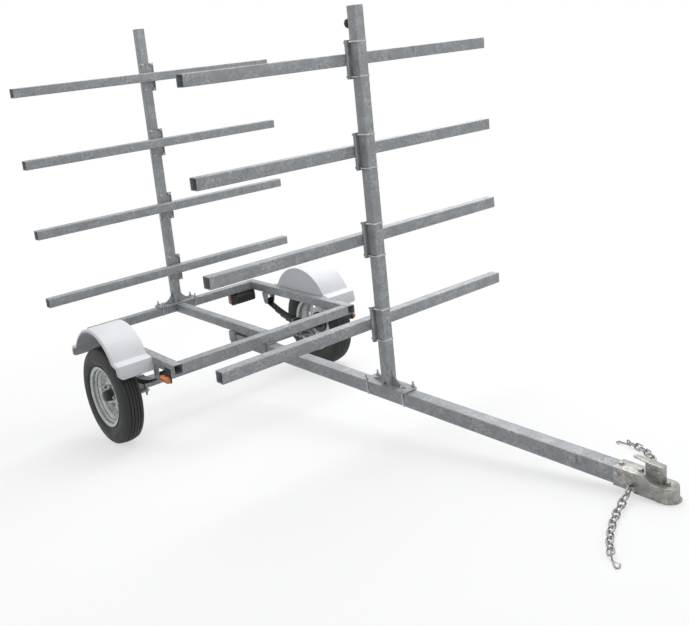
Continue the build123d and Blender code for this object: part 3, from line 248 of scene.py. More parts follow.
MATERIALS = {
    "galvanised_steel": galvanised("galvanised_steel", (0.25, 0.262, 0.269), (0.455, 0.473, 0.486), 120.0),
    "galvanised_rim": galvanised(
        "galvanised_rim", (0.34, 0.36, 0.36), (0.60, 0.62, 0.61), 170.0, rough=(0.22, 0.38), metal=0.75),
    "bright_zinc": zinc_plated("bright_zinc", (0.34, 0.35, 0.36), (0.58, 0.59, 0.60), rough=(0.28, 0.42)),
    "zinc_plate": zinc_plated(
        "zinc_plate", (0.20, 0.20, 0.195), (0.46, 0.46, 0.45), rough=(0.32, 0.46), metal=0.7,
        cast=(0.37, 0.35, 0.29)),
    "chain_zinc": zinc_plated("chain_zinc", (0.22, 0.22, 0.215), (0.46, 0.46, 0.45), rough=(0.34, 0.5)),
    "tyre_rubber": rubber("tyre_rubber"),
    "black_hub": painted_black("black_hub"),
    "spring_black": painted_black("spring_black", (0.016, 0.016, 0.018), (0.42, 0.6)),
    "white_plastic": moulded("white_plastic", (0.80, 0.81, 0.835), 0.42, grain_scale=400.0, grain=0.03),
    "black_plastic": moulded("black_plastic", (0.022, 0.022, 0.024), 0.45),
    "red_lens": lens("red_lens", color=(0.52, 0.02, 0.03), deep=(0.22, 0.005, 0.01)),
    "amber_lens": lens("amber_lens", color=(0.90, 0.30, 0.03), deep=(0.55, 0.12, 0.01)),
}
SLOTS = {subpart["node"]: subpart["material_slot"] for subpart in frame["record"]["subparts"]}

# Every CAD node takes the material of its slot.
for node_name, slot in SLOTS.items():
    node = frame["nodes"][node_name]
    node.data.materials.clear()
    node.data.materials.append(MATERIALS[slot])


# Shapes are pairs of points and faces, mostly in level millimetres.
def joined(shapes):
    """Put several shapes into one."""
    verts, faces = [], []
    for more_verts, more_faces in shapes:
        start = len(verts)
        verts += [Vector(point) for point in more_verts]
        faces += [tuple(start + index for index in face) for face in more_faces]
    return verts, faces


def moved(shape, matrix):
    """The same shape somewhere else."""
    verts, faces = shape
    return [matrix @ Vector(point) for point in verts], faces


def placed(origin, x_dir, z_dir):
    """A frame like a work plane: its origin, its X and its normal."""
    x = Vector(x_dir).normalized()
    z = Vector(z_dir).normalized()
    turn = Matrix((x, z.cross(x), z)).transposed().to_4x4()
    return Matrix.Translation(Vector(origin)) @ turn


def rings(loops, closed=False):
    """Skin loops of points one after the other, back to the first one or with both ends capped."""
    count = len(loops[0])
    verts = [point for loop in loops for point in loop]
    faces = []
    for number in range(len(loops) if closed else len(loops) - 1):
        here, there = number * count, (number + 1) % len(loops) * count
        for at in range(count):
            after = (at + 1) % count
            faces.append((here + at, here + after, there + after, there + at))
    if not closed:
        last = (len(loops) - 1) * count
        faces += [tuple(reversed(range(count))), tuple(range(last, last + count))]
    return verts, faces


def full_turn(count):
    """Angles evenly spread over one turn."""
    return [2 * math.pi * number / count for number in range(count)]


def turned(profile, sides, closed=False):
    """Turn (place, radius) pairs about the Z axis of the shape's own frame."""
    angles = full_turn(sides)
    loops = [[(radius * math.cos(a), radius * math.sin(a), place) for a in angles] for place, radius in profile]
    return rings(loops, closed)


def rounded_path(corners, radius, steps):
    """Points along a line with its corners rounded."""
    corners = [Vector(corner) for corner in corners]
    path = [corners[0]]
    for before, corner, after in zip(corners, corners[1:], corners[2:]):
        back, ahead = (before - corner).normalized(), (after - corner).normalized()
        half = back.angle(ahead) / 2
        reach = radius / math.tan(half)
        middle = corner + (back + ahead).normalized() * radius / math.sin(half)
        start, end = corner + back * reach - middle, corner + ahead * reach - middle
        path += [middle + start.slerp(end, step / steps) for step in range(steps + 1)]
    return path + [corners[-1]]


def tube(path, radii, sides, closed=False):
    """A round wire along a path; its radius is one number or one for each point."""
    path = [Vector(point) for point in path]
    count = len(path)
    radii = radii if isinstance(radii, list) else [radii] * count
    angles = full_turn(sides)
    loops = []
    across = None
    for number, point in enumerate(path):
        after = path[(number + 1) % count] if closed or number < count - 1 else point
        before = path[number - 1] if closed or number else point
        along = (after - before).normalized()
        if across is None:
            across = along.orthogonal().normalized()
        across = (across - along * across.dot(along)).normalized()
        other = along.cross(across)
        loops.append([point + (across * math.cos(a) + other * math.sin(a)) * radii[number] for a in angles])
    return rings(loops, closed)


def finished(mesh, name, slot, body, sharp):
    """Shade a mesh smooth with sharp edges, give it its slot and let it ride."""
    mesh.shade_smooth()
    mesh.set_sharp_from_angle(angle=math.radians(sharp))
    mesh.materials.clear()
    mesh.materials.append(MATERIALS[slot])
    made = bpy.data.objects.new(name, mesh)
    bpy.context.scene.collection.objects.link(made)
    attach(made, body)
    return made


def piece(name, shape, slot, body=CHASSIS, place=PARK, sharp=35.0, replaced=()):
    """Make a piece from a shape in level millimetres."""
    verts, faces = shape
    mesh = bpy.data.meshes.new(name)
    mesh.from_pydata([tuple(place @ Vector(point)) for point in verts], [], faces)
    mesh.update()
    tidy = bmesh.new()
    tidy.from_mesh(mesh)
    bmesh.ops.remove_doubles(tidy, verts=tidy.verts, dist=1e-6)
    bmesh.ops.dissolve_degenerate(tidy, edges=tidy.edges, dist=1e-7)
    bmesh.ops.recalc_face_normals(tidy, faces=tidy.faces)
    tidy.to_mesh(mesh)
    tidy.free()
    made = finished(mesh, name, slot, body, sharp)
    if replaced:
        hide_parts(*replaced)
    return made


def softened(node_name, width):
    """Replace a CAD node of the chassis by a copy of its form whose edges are rounded."""
    mesh = frame["nodes"][node_name].data.copy()
    form = bmesh.new()
    form.from_mesh(mesh)
    bmesh.ops.remove_doubles(form, verts=form.verts, dist=2e-6)
    bmesh.ops.dissolve_limit(form, angle_limit=math.radians(FLAT_ANGLE), verts=form.verts, edges=form.edges)
    edges = [edge for edge in form.edges
             if len(edge.link_faces) == 2 and edge.calc_face_angle(0.0) > math.radians(SHARP_ANGLE)]
    bmesh.ops.bevel(form, geom=edges, offset=width * MM, segments=3, profile=0.5, affect="EDGES",
                    clamp_overlap=True)
    bmesh.ops.triangulate(form, faces=[face for face in form.faces if len(face.verts) > 4])
    form.to_mesh(mesh)
    form.free()
    mesh.name = f"{node_name}_form"
    made = finished(mesh, f"{node_name}_form", SLOTS[node_name], CHASSIS, sharp=32.0)
    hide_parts(node_name)


# Sizes shared with the CAD
TYRE_RADIUS = 268.0
TRACK = 1444.0
TUBE = 50.8
FRAME_TOP = 241.0
FRAME_BOTTOM = FRAME_TOP - TUBE
TONGUE = 63.5
SADDLE = 12.0
TONGUE_TOP = FRAME_BOTTOM - SADDLE
FRONT_MEMBER_X = 490.0
REAR_MEMBER_X = -494.0
FRONT_POST_X = 1433.0
FOOT_THICK = 8.0
FOOT_CLAMP_AT = 116.0
ARM_RISE = 229.0
ARM_PITCH = 391.0
ARM_COUNT = 4
ARM_LEVELS = [FRAME_TOP + ARM_RISE + ARM_PITCH * number for number in range(ARM_COUNT)]
ARM_CLAMP_AT = 72.0
BRACKET_WALL = 5.0
ROD = 9.5
ROD_GAP = 0.5
THREAD_END = 26.0
RAIL_Y = 573.5

# Rounded copies of the frame's tubes, posts, arms, plates, hangers, coupler, fenders and lamps.
# A node takes the width of the longest key in its name.
FLAT_ANGLE = 0.8
SHARP_ANGLE = 25.0
SOFT_WIDTHS = {
    "side_rail": 1.6, "crossmember": 1.6, "centre_beam": 1.6, "tongue": 1.6, "tongue_saddles": 1.2,
    "tongue_clamps": 1.0, "front_post": 1.3, "rear_post": 1.3, "_arm_": 1.6, "arm_brackets": 1.2, "axle": 1.6,
    "spring_hanger": 0.8, "coupler": 2.0, "coupler_latch": 0.9, "fender": 1.8, "tail_lamp_housing": 2.2,
    "tail_lamp_lens": 2.6, "side_marker_base": 1.2, "side_marker_lens": 2.4,
}
OWN_FORMS = (
    "arm_clamps", "post_clamps", "axle_clamps", "post_knob", "chain", "rim", "tyre", "hub", "leaf_spring",
)
for node_name in sorted(SLOTS):
    if any(key in node_name for key in OWN_FORMS):
        continue
    widths = [(len(key), width) for key, width in SOFT_WIDTHS.items() if key in node_name]
    softened(node_name, max(widths)[1])


# Bolts, nuts and washers, each along Z of its own frame
NUT = 16.0
NUT_THICK = 8.0
NUT_CHAMFER_SHARE = 0.12
NUT_FACE_SHARE = 0.9
WASHER = 1.6
WASHER_EDGE_SHARE = 0.25
WASHER_RADIUS = 9.6
WASHER_SIDES = 28
THREAD_PITCH = 1.5
THREAD_DEPTH = 0.55
THREAD_SIDES = 16
TIP_LENGTH = 1.0
TIP_CUT = 1.6
THREAD_SINK = 3.0
WIRE_SIDES = 16
ROD_BEND = 8.0
ROD_BEND_STEPS = 6


def hexagon_nut(across, thick):
    """A hexagon nut or head with its corners chamfered at both ends."""
    corner = across / math.sqrt(3)
    face = corner * NUT_FACE_SHARE
    chamfer = NUT_CHAMFER_SHARE * thick
    return turned(((0, face), (chamfer, corner), (thick - chamfer, corner), (thick, face)), 6)


def washer(inner, outer, thick):
    """A washer whose outer rims are broken."""
    edge = WASHER_EDGE_SHARE * thick
    section = (
        (0, inner), (0, outer - edge), (edge, outer),
        (thick - edge, outer), (thick, outer - edge), (thick, inner),
    )
    return turned(section, WASHER_SIDES, closed=True)


def thread(radius, start, end):
    """A threaded rod's end: ridges one pitch apart with a chamfered tip."""
    root = radius - THREAD_DEPTH
    profile = [(start, 0.0), (start, root)]
    place = start
    while place + THREAD_PITCH < end - TIP_LENGTH:
        profile += [(place + 0.25 * THREAD_PITCH, root), (place + 0.5 * THREAD_PITCH, radius),
                    (place + 0.75 * THREAD_PITCH, radius), (place + THREAD_PITCH, root)]
        place += THREAD_PITCH
    return turned(profile + [(end - TIP_LENGTH, root), (end, radius - TIP_CUT), (end, 0.0)], THREAD_SIDES)


def u_bolt(width, seat, bend=ROD_BEND):
    """A U-bolt with washers and nuts: bend towards -Y, legs along +Y, in the XY plane."""
    half = (width + ROD) / 2
    start = seat - THREAD_SINK
    corners = [(-half, start, 0), (-half, -half, 0), (half, -half, 0), (half, start, 0)]
    shapes = [tube(rounded_path(corners, bend, ROD_BEND_STEPS), ROD / 2, WIRE_SIDES)]
    fittings = (
        (thread(ROD / 2, start, seat + THREAD_END), 0),
        (washer(ROD / 2, WASHER_RADIUS, WASHER), seat),
        (hexagon_nut(NUT, NUT_THICK), seat + WASHER),
    )
    for leg in (-half, half):
        shapes += [moved(shape, placed((leg, y, 0), (1, 0, 0), (0, 1, 0))) for shape, y in fittings]
    return joined(shapes)


UP = Vector((0, 0, 1))
FORWARD = Vector((1, 0, 0))
LEFTWARD = Vector((0, 1, 0))
POSTS = {
    "front": {"x": FRONT_POST_X, "base": TONGUE_TOP, "carrier": TONGUE, "along": FORWARD, "arm_side": -1},
    "rear": {"x": REAR_MEMBER_X, "base": FRAME_TOP, "carrier": TUBE, "along": LEFTWARD, "arm_side": 1},
}
arm_bolt = u_bolt(TUBE + 2 * ROD_GAP, TUBE / 2 + BRACKET_WALL)
for name, post in POSTS.items():
    clamps = [
        moved(arm_bolt, placed((post["x"], 0, level + step), (0, -post["arm_side"], 0), UP))
        for level in ARM_LEVELS for step in (-ARM_CLAMP_AT, ARM_CLAMP_AT)
    ]
    piece(f"{name}_arm_clamps_form", joined(clamps), "bright_zinc", replaced=(f"{name}_arm_clamps",))
    foot_bolt = u_bolt(post["carrier"] + 2 * ROD_GAP, post["carrier"] / 2 + FOOT_THICK)
    across = UP.cross(post["along"])
    middle = Vector((post["x"], 0, post["base"] - post["carrier"] / 2))
    clamps = [
        moved(foot_bolt, placed(middle + post["along"] * toward * FOOT_CLAMP_AT, across, across.cross(UP)))
        for toward in (-1, 1)
    ]
    piece(f"{name}_post_clamps_form", joined(clamps), "bright_zinc", replaced=(f"{name}_post_clamps",))

# Leaf springs, and the pad, plate and U-bolts that clamp each one to the axle
SPRING_INSET = 5.5
SPRING_Y = RAIL_Y - SPRING_INSET
LEAF_WIDTH = 45.0
LEAF_THICK = 7.0
LEAF_COUNT = 4
LEAF_STEPS = 40
LEAF_STEP_SHARE = 0.2
LEAF_EDGE = 1.0
DRAWN_STEPS = 3
DRAWN_SHARE = 0.75
DRAWN_THICK = 4.5
EYE_OUTER = 15.0
EYE_BORE = 6.6
EYE_EDGE = 0.8
EYE_SIDES = 36
AXLE_HALF = 25.4
PAD_THICK = 6.0
PAD_LENGTH = 92.0
CLAMP_PLATE = 8.0
CLAMP_EDGE = 9.0
CLAMP_ROD_GAP = 1.0
CLAMP_CORNER = 7.0
PAD_CORNER = 1.5
AXLE_BOLT_BEND = 6.0
CLAMP_SEAT_GAP = 0.1
SPRING_TOP_Z = AXLE_HALF + PAD_THICK + LEAF_COUNT * LEAF_THICK
EYE_X = 305.0
EYE_Z = 138.0
EYE_RISE = EYE_Z - (SPRING_TOP_Z - LEAF_THICK + EYE_OUTER)
EYE_CIRCLE = (EYE_X**2 + EYE_RISE**2) / (2 * EYE_RISE)
SPRING_RADIUS = EYE_CIRCLE + EYE_OUTER - LEAF_THICK
SPRING_CENTRE_Z = SPRING_TOP_Z + SPRING_RADIUS
AXLE_CLAMP_X = AXLE_HALF + CLAMP_EDGE
CLAMP_SEAT_Z = SPRING_CENTRE_Z - math.sqrt(SPRING_RADIUS**2 - (AXLE_CLAMP_X + ROD)**2) + CLAMP_SEAT_GAP


SLAB_EDGE = 0.8
QUARTER_STEPS = 4


def slab(length, width, corner, bottom, top):
    """A plate with rounded corners and softened rims, level, about Z."""
    def outline(inset, z):
        loop = []
        for x_sign, y_sign, first in ((1, 1, 0), (-1, 1, 90), (-1, -1, 180), (1, -1, 270)):
            for step in range(QUARTER_STEPS + 1):
                turn = math.radians(first + 90 * step / QUARTER_STEPS)
                loop.append((x_sign * (length / 2 - corner) + (corner - inset) * math.cos(turn),
                             y_sign * (width / 2 - corner) + (corner - inset) * math.sin(turn), z))
        return loop
    return rings([outline(SLAB_EDGE, bottom), outline(0, bottom + SLAB_EDGE),
                  outline(0, top - SLAB_EDGE), outline(SLAB_EDGE, top)])


def leaf(number, centre_y):
    """One leaf with chamfered edges; all but the longest are drawn narrow and thin at their ends."""
    radius = SPRING_RADIUS + number * LEAF_THICK
    reach = math.asin(EYE_X / EYE_CIRCLE) * (1 - LEAF_STEP_SHARE * number)
    half = LEAF_WIDTH / 2
    loops = []
    for step in range(LEAF_STEPS + 1):
        angle = reach * (2 * step / LEAF_STEPS - 1)
        drawn = number and (step < DRAWN_STEPS or step > LEAF_STEPS - DRAWN_STEPS)
        share, thick = (DRAWN_SHARE, DRAWN_THICK) if drawn else (1.0, LEAF_THICK)
        section = (
            (LEAF_EDGE - half, 0), (half - LEAF_EDGE, 0), (half, LEAF_EDGE),
            (half, thick - LEAF_EDGE), (half - LEAF_EDGE, thick), (LEAF_EDGE - half, thick),
            (-half, thick - LEAF_EDGE), (-half, LEAF_EDGE),
        )
        loops.append([((radius + deep) * math.sin(angle), centre_y + y * share,
                       SPRING_CENTRE_Z - (radius + deep) * math.cos(angle)) for y, deep in section])
    return rings(loops)


clamp_width = LEAF_WIDTH + 2 * CLAMP_ROD_GAP
plate = slab(PAD_LENGTH + ROD, clamp_width + 2 * (ROD + CLAMP_EDGE), CLAMP_CORNER,
             -AXLE_HALF - CLAMP_PLATE, -AXLE_HALF)
pad = slab(PAD_LENGTH, LEAF_WIDTH, PAD_CORNER, AXLE_HALF, AXLE_HALF + PAD_THICK)
loop_z = CLAMP_SEAT_Z - clamp_width / 2
axle_bolt = u_bolt(clamp_width, loop_z + AXLE_HALF + CLAMP_PLATE, AXLE_BOLT_BEND)
eye_half = LEAF_WIDTH / 2
eye_rim = EYE_OUTER - EYE_EDGE
eye_section = (
    (-eye_half, EYE_BORE), (-eye_half, eye_rim), (EYE_EDGE - eye_half, EYE_OUTER),
    (eye_half - EYE_EDGE, EYE_OUTER), (eye_half, eye_rim), (eye_half, EYE_BORE),
)
for side, sign in SIDES.items():
    spring_y = sign * SPRING_Y
    spring_at = Matrix.Translation((0, spring_y, 0))
    shapes = [moved(pad, spring_at), moved(plate, spring_at)]
    shapes += [moved(axle_bolt, placed((x, spring_y, loop_z), (0, 1, 0), (-1, 0, 0)))
               for x in (-AXLE_CLAMP_X, AXLE_CLAMP_X)]
    name = f"axle_clamps_{side}"
    piece(f"{name}_form", joined(shapes), SLOTS[name], replaced=(name,))

    leaves = [leaf(number, spring_y) for number in range(LEAF_COUNT)]
    for x in (-EYE_X, EYE_X):
        eye = turned(eye_section, EYE_SIDES, closed=True)
        leaves.append(moved(eye, placed((x, spring_y, EYE_Z), (1, 0, 0), (0, -1, 0))))
    name = f"leaf_spring_{side}"
    piece(f"{name}_form", joined(leaves), "spring_black", sharp=40.0, replaced=(name,))

# Wheels: sections hold the distance outward from the wheel's middle and the radius
WHEEL_FRAME = {side: placed((0, sign * TRACK / 2, 0), (1, 0, 0), (0, sign, 0)) for side, sign in SIDES.items()}
TREAD_HALF = 44.0
CROWN_DROP = 6.0
GROOVES = (27.0, 9.0)
GROOVE_WIDTH = 4.5
GROOVE_DEPTH = 6.0
GROOVE_SHARES = ((0.5, 0.0), (0.32, 1.0), (-0.32, 1.0), (-0.5, 0.0))
SIDEWALL = (
    (44.5, 155.8), (46.5, 170), (50.5, 176), (54.5, 183), (56.5, 184), (57.5, 187), (60.2, 206), (61.0, 207),
    (61.0, 218), (60.2, 219), (57.4, 238), (55.6, 240), (54.8, 246), (50.0, 256), (45.5, 260),
)
# Flanges, bead seats and the deep dish with its stepped rings
RIM_SECTION = (
    (-53, 165.5), (-52, 167.6), (-50.5, 168), (-49, 167), (-46, 156), (-30, 155.6), (-24, 152), (24, 152),
    (30, 155.6), (46, 156), (49, 167), (50.5, 168), (52, 167.6), (53, 165.5), (52.6, 163), (50.5, 161),
    (48.5, 152.5), (46, 150.5), (38, 149.4), (33, 148.4), (31, 146), (29.5, 141), (27, 139), (20, 138),
    (18, 136), (14, 131.5), (10, 128.5), (8, 126), (4, 126), (4, 131), (-20, 148.8), (-46, 150),
    (-48.5, 152.5), (-50.5, 161), (-52.6, 163),
)
# The raised seat of the nuts and the hole for the hub
DISC_SECTION = (
    (4, 127), (8.5, 127), (9.2, 122), (8.0, 118), (8.0, 88), (9.5, 82), (13.0, 76), (14.0, 72), (14.0, 46),
    (12.5, 42), (10.0, 40), (9.0, 34.2), (4, 34.2),
)
HUB_SECTION = (
    (-55, 15.4), (-55, 28), (-54, 29), (-20, 30.5), (-8, 33), (-4, 36), (-4, 64.5), (-2.5, 66), (2.5, 66),
    (4, 64.5), (4, 33.6), (14, 33), (15, 32.2), (34, 30.8), (35.5, 30.2), (36, 28.4), (38.5, 28.4), (40, 27.4),
    (49, 26.6), (52.5, 24.5), (54.2, 20), (54.6, 13), (56.6, 12.2), (57, 0.0), (41, 0.0), (41, 15.4),
)
TYRE_SIDES = 128
RIM_SIDES = 96
HUB_SIDES = 48
SLOT_COUNT = 8
SLOT_AT = 103.0
SLOT_SIZE = (17.0, 27.0, 6.5)
SLOT_CUT = (-4.0, 20.0)
STUD_COUNT = 5
STUD_PITCH_RADIUS = 57.15
STUD_RADIUS = 6.0
STUD_ENDS = (24.0, 29.0)
STUD_NUT = 19.0
STUD_NUT_THICK = 11.5
STUD_NUT_AT = 14.5
NUT_COLLAR = ((13.4, 9.0), (14.6, 12.2), (15.4, 12.2), (16.2, 10.9))
NUT_COLLAR_SIDES = 24
VALVE_PATH = ((142, 30, 24), (138, 30, 33), (133, 29, 44))
VALVE_RADII = (4.2, 3.6, 3.0)
VALVE_SIDES = 14


def tyre_section():
    """Half a section from the bead to the crown, mirrored to a closed one."""
    half = [*SIDEWALL, (TREAD_HALF, TYRE_RADIUS - CROWN_DROP)]
    for middle in GROOVES:
        for across, deep in GROOVE_SHARES:
            y = middle + across * GROOVE_WIDTH
            half.append((y, TYRE_RADIUS - CROWN_DROP * (y / TREAD_HALF) ** 2 - deep * GROOVE_DEPTH))
    half.append((0.0, TYRE_RADIUS))
    return half + [(-y, radius) for y, radius in reversed(half[:-1])]


def cut(made, shape, place):
    """Cut a shape out of a piece's mesh."""
    verts, faces = shape
    mesh = bpy.data.meshes.new("cutter")
    mesh.from_pydata([tuple(place @ Vector(point)) for point in verts], [], faces)
    tidy = bmesh.new()
    tidy.from_mesh(mesh)
    bmesh.ops.recalc_face_normals(tidy, faces=tidy.faces)
    tidy.to_mesh(mesh)
    tidy.free()
    cutter = bpy.data.objects.new("cutter", mesh)
    bpy.context.scene.collection.objects.link(cutter)
    modifier = made.modifiers.new("cut", "BOOLEAN")
    modifier.operation = "DIFFERENCE"
    modifier.solver = "EXACT"
    modifier.object = cutter
    graph = bpy.context.evaluated_depsgraph_get()
    result = bpy.data.meshes.new_from_object(made.evaluated_get(graph))
    made.modifiers.clear()
    made.data = result
    bpy.data.objects.remove(cutter)


def spread(count, radius, offset=0.0):
    """Frames evenly spread round Z at a radius, turned by a share of their pitch."""
    turns = [Matrix.Rotation(2 * math.pi * (number + offset) / count, 4, "Z") for number in range(count)]
    return [turn @ Matrix.Translation((radius, 0, 0)) for turn in turns]


wheel_nut = joined([
    turned(NUT_COLLAR, NUT_COLLAR_SIDES),
    moved(hexagon_nut(STUD_NUT, STUD_NUT_THICK), Matrix.Translation((0, 0, STUD_NUT_AT))),
    thread(STUD_RADIUS, *STUD_ENDS),
])
nuts = joined([moved(wheel_nut, stud) for stud in spread(STUD_COUNT, STUD_PITCH_RADIUS)])
slots = joined([moved(slab(*SLOT_SIZE, *SLOT_CUT), slot) for slot in spread(SLOT_COUNT, SLOT_AT, 0.5)])
stem = tube(VALVE_PATH, list(VALVE_RADII), VALVE_SIDES)
turned_forms = [
    turned(section, sides, closed=True)
    for section, sides in ((tyre_section(), TYRE_SIDES), (RIM_SECTION, RIM_SIDES),
                           (DISC_SECTION, RIM_SIDES), (HUB_SECTION, HUB_SIDES))
]
for side in SIDES:
    body = f"wheel_{side}"
    wheel = WHEEL_FRAME[side]
    tyre, rim, disc, hub = (moved(form, wheel) for form in turned_forms)
    piece(f"tyre_{side}_form", tyre, "tyre_rubber", body, sharp=28.0, replaced=(f"tyre_{side}",))
    piece(f"rim_{side}_form", rim, "galvanised_rim", body, sharp=30.0, replaced=(f"rim_{side}",))
    cut(piece(f"disc_{side}", disc, "galvanised_rim", body, sharp=30.0), slots, PARK @ wheel)
    piece(f"wheel_nuts_{side}", moved(nuts, wheel), "bright_zinc", body)
    piece(f"hub_{side}_form", hub, "black_hub", body, sharp=32.0, replaced=(f"hub_{side}",))
    piece(f"valve_{side}", moved(stem, wheel), "black_plastic", body)

# Knob on the front post, fluted round its edge
KNOB_Z = 1793.0
KNOB_SECTION = (
    (0, 9), (10, 9), (11.5, 12), (12, 18.5), (13.5, 20.8), (16, 21.8), (26.5, 21.8), (29.5, 20.2), (31.3, 17),
    (32, 12), (31.2, 0.0),
)
KNOB_SIDES = 64
FLUTES = 8
FLUTED_FROM = 18.0
FLUTE_SHARE = 0.035
knob_verts, knob_faces = turned(KNOB_SECTION, KNOB_SIDES)
fluted = []
for x, y, z in knob_verts:
    share = 1.0
    if math.hypot(x, y) > FLUTED_FROM:
        share += FLUTE_SHARE * (math.cos(FLUTES * math.atan2(y, x)) - 1)
    fluted.append((x * share, y * share, z))
knob_frame = placed((FRONT_POST_X - TUBE / 2, 0, KNOB_Z), (0, 1, 0), (-1, 0, 0))
piece("post_knob_form", moved((fluted, knob_faces), knob_frame), "black_plastic", replaced=("post_knob",))

# Chain eyes: a bent rod on each side of the coupler
COUPLER_WALL = 4.0
COUPLER_HALF = TONGUE / 2 + COUPLER_WALL
CHAIN_EYE_X = 2664.0
CHAIN_EYE_RISE = 16.0
CHAIN_EYE_Z = TONGUE_TOP - TONGUE + CHAIN_EYE_RISE
CHAIN_EYE_OUT = 17.0
CHAIN_EYE_HALF = 15.0
CHAIN_EYE_SINK = 2.0
CHAIN_EYE_BEND = 9.0
CHAIN_EYE_BEND_STEPS = 8
EYE_ROD = 8.0
eyes = []
for sign in SIDES.values():
    corners = [
        (CHAIN_EYE_X + x, sign * (COUPLER_HALF + y), CHAIN_EYE_Z)
        for x, y in ((-CHAIN_EYE_HALF, -CHAIN_EYE_SINK), (-CHAIN_EYE_HALF, CHAIN_EYE_OUT),
                     (CHAIN_EYE_HALF, CHAIN_EYE_OUT), (CHAIN_EYE_HALF, -CHAIN_EYE_SINK))
    ]
    eyes.append(tube(rounded_path(corners, CHAIN_EYE_BEND, CHAIN_EYE_BEND_STEPS), EYE_ROD / 2, WIRE_SIDES))
piece("chain_eyes_form", joined(eyes), "zinc_plate", replaced=("chain_eyes",))

# Safety chains: round links that lie where the CAD has them
LINK_WIRE = 7.0
LINK_LENGTH = 50.0
LINK_WIDTH = 29.0
LINK_INNER = LINK_LENGTH / 2 - LINK_WIRE
LINK_SLACK = 1.5
LINK_PITCH = LINK_LENGTH - 2 * LINK_WIRE - LINK_SLACK
LINK_COUNT = 12
LINK_SIDES = 12
LINK_BEND_STEPS = 12
LINK_EASE = 0.1
LINK_REST = 13.1
FIRST_ROLL = 90.0
ODD_ROLL = 20.0
EVEN_ROLL = -46.0
DESCENT_SHARE = 0.4
HOOK_GAP = 6.6
FLOOR_GAP = 0.3
# side, its sign, and the way that the chain runs at its start and at its end, in degrees
CHAIN_ROUTES = (("left", 1, 100.0, 160.0), ("right", -1, -80.0, -52.0))
# place along a link's side, and how much thicker the wire is there
LINK_WELD = ((2.6, -0.1), (1.2, 0.35), (-1.2, 0.35), (-2.6, -0.1))
HOOK_EYE_Z = 13.0
HOOK_EYE_RADIUS = 10.2
HOOK_EYE_WIRE = 2.75
HOOK_EYE_STEPS = 28
HOOK_EYE_SIDES = 12
HOOK_WIRE = 3.5
HOOK_SIDES = 14
HOOK_BEND = 5.0
HOOK_BEND_STEPS = 5
HOOK_CORNERS = ((9.5, 0), (52, 0), (62, 5), (62, 17), (52, 22), (34, 22))
HOOK_TIP_RADII = (3.3, 1.8)
GATE_PATH = ((18, 2.5), (26, 10), (35, 19.5))
GATE_RADII = (1.2, 1.3, 1.2)
GATE_SIDES = 8


def link_shape():
    """A welded link: a wire bent to a long ring, a little thicker at its weld."""
    bend = (LINK_WIDTH - LINK_WIRE) / 2
    reach = (LINK_LENGTH - LINK_WIRE) / 2 - bend
    path, radii = [], []
    for middle, first in ((reach, -90), (-reach, 90)):
        for step in range(LINK_BEND_STEPS + 1):
            turn = math.radians(first + 180 * step / LINK_BEND_STEPS)
            path.append((middle + bend * math.cos(turn), bend * math.sin(turn), 0))
            radii.append(LINK_WIRE / 2 - LINK_EASE)
        if middle > 0:
            path += [(x, bend, 0) for x, more in LINK_WELD]
            radii += [LINK_WIRE / 2 + more for x, more in LINK_WELD]
    return tube(path, radii, LINK_SIDES, closed=True)


def hook_shape():
    """An upright eye, a flat J whose end is drawn to a blunt point, and a thin gate across its mouth."""
    ring = [(HOOK_EYE_RADIUS * math.cos(a), 0, HOOK_EYE_Z + HOOK_EYE_RADIUS * math.sin(a))
            for a in full_turn(HOOK_EYE_STEPS)]
    path = rounded_path([(x, y, HOOK_WIRE) for x, y in HOOK_CORNERS], HOOK_BEND, HOOK_BEND_STEPS)
    radii = [HOOK_WIRE] * (len(path) - len(HOOK_TIP_RADII)) + list(HOOK_TIP_RADII)
    return joined([
        tube(ring, HOOK_EYE_WIRE, HOOK_EYE_SIDES, closed=True),
        tube(path, radii, HOOK_SIDES),
        tube([(x, y, HOOK_WIRE) for x, y in GATE_PATH], list(GATE_RADII), GATE_SIDES),
    ])


chain_link = link_shape()
hook = hook_shape()
for side, sign, start_turn, end_turn in CHAIN_ROUTES:
    at = PARK @ Vector((CHAIN_EYE_X, sign * (COUPLER_HALF + CHAIN_EYE_OUT), CHAIN_EYE_Z)) / MM
    shapes = []
    for number in range(LINK_COUNT):
        first = number == 0
        turn = math.radians(start_turn + (end_turn - start_turn) * number / (LINK_COUNT - 1))
        start_gap = EYE_ROD if first else LINK_INNER - LINK_PITCH / 2
        step = LINK_PITCH / 2 + LINK_INNER - start_gap if first else LINK_PITCH
        drop = (LINK_REST - at.z) * DESCENT_SHARE
        level_step = math.sqrt(step**2 - drop**2)
        stride = Vector((math.cos(turn) * level_step, math.sin(turn) * level_step, drop))
        along = stride.normalized()
        middle = at + along * (LINK_INNER - start_gap)
        across = Vector((-along.y, along.x, 0)).normalized()
        roll = FIRST_ROLL if first else ODD_ROLL if number % 2 else EVEN_ROLL
        normal = Matrix.Rotation(math.radians(roll), 3, along) @ along.cross(across)
        shapes.append(moved(chain_link, placed(middle, along, normal)))
        at = at + stride
    level_along = Vector((along.x, along.y, 0)).normalized()
    hook_at = Vector((at.x, at.y, FLOOR_GAP)) + level_along * HOOK_GAP
    shapes.append(moved(hook, placed(hook_at, level_along, UP)))
    piece(f"safety_chain_{side}_form", joined(shapes), "chain_zinc", place=Matrix.Scale(MM, 4),
          replaced=(f"safety_chain_{side}",))


# Weld beads where the tubes and plates meet
WELD_RADIUS = 2.2
THIN_WELD_RADIUS = 1.8
WELD_PITCH = 3.2
WELD_SIDES = 8
WELD_LOW_SHARE = 0.64
WELD_END_SHARE = 0.5
WELD_HALF = 21.0
WELD_SHORT = 4.0
GUSSET_HALF = 3.0
GUSSET_WELD = 74.0
GUSSET_AT = TUBE / 2 + 1.0


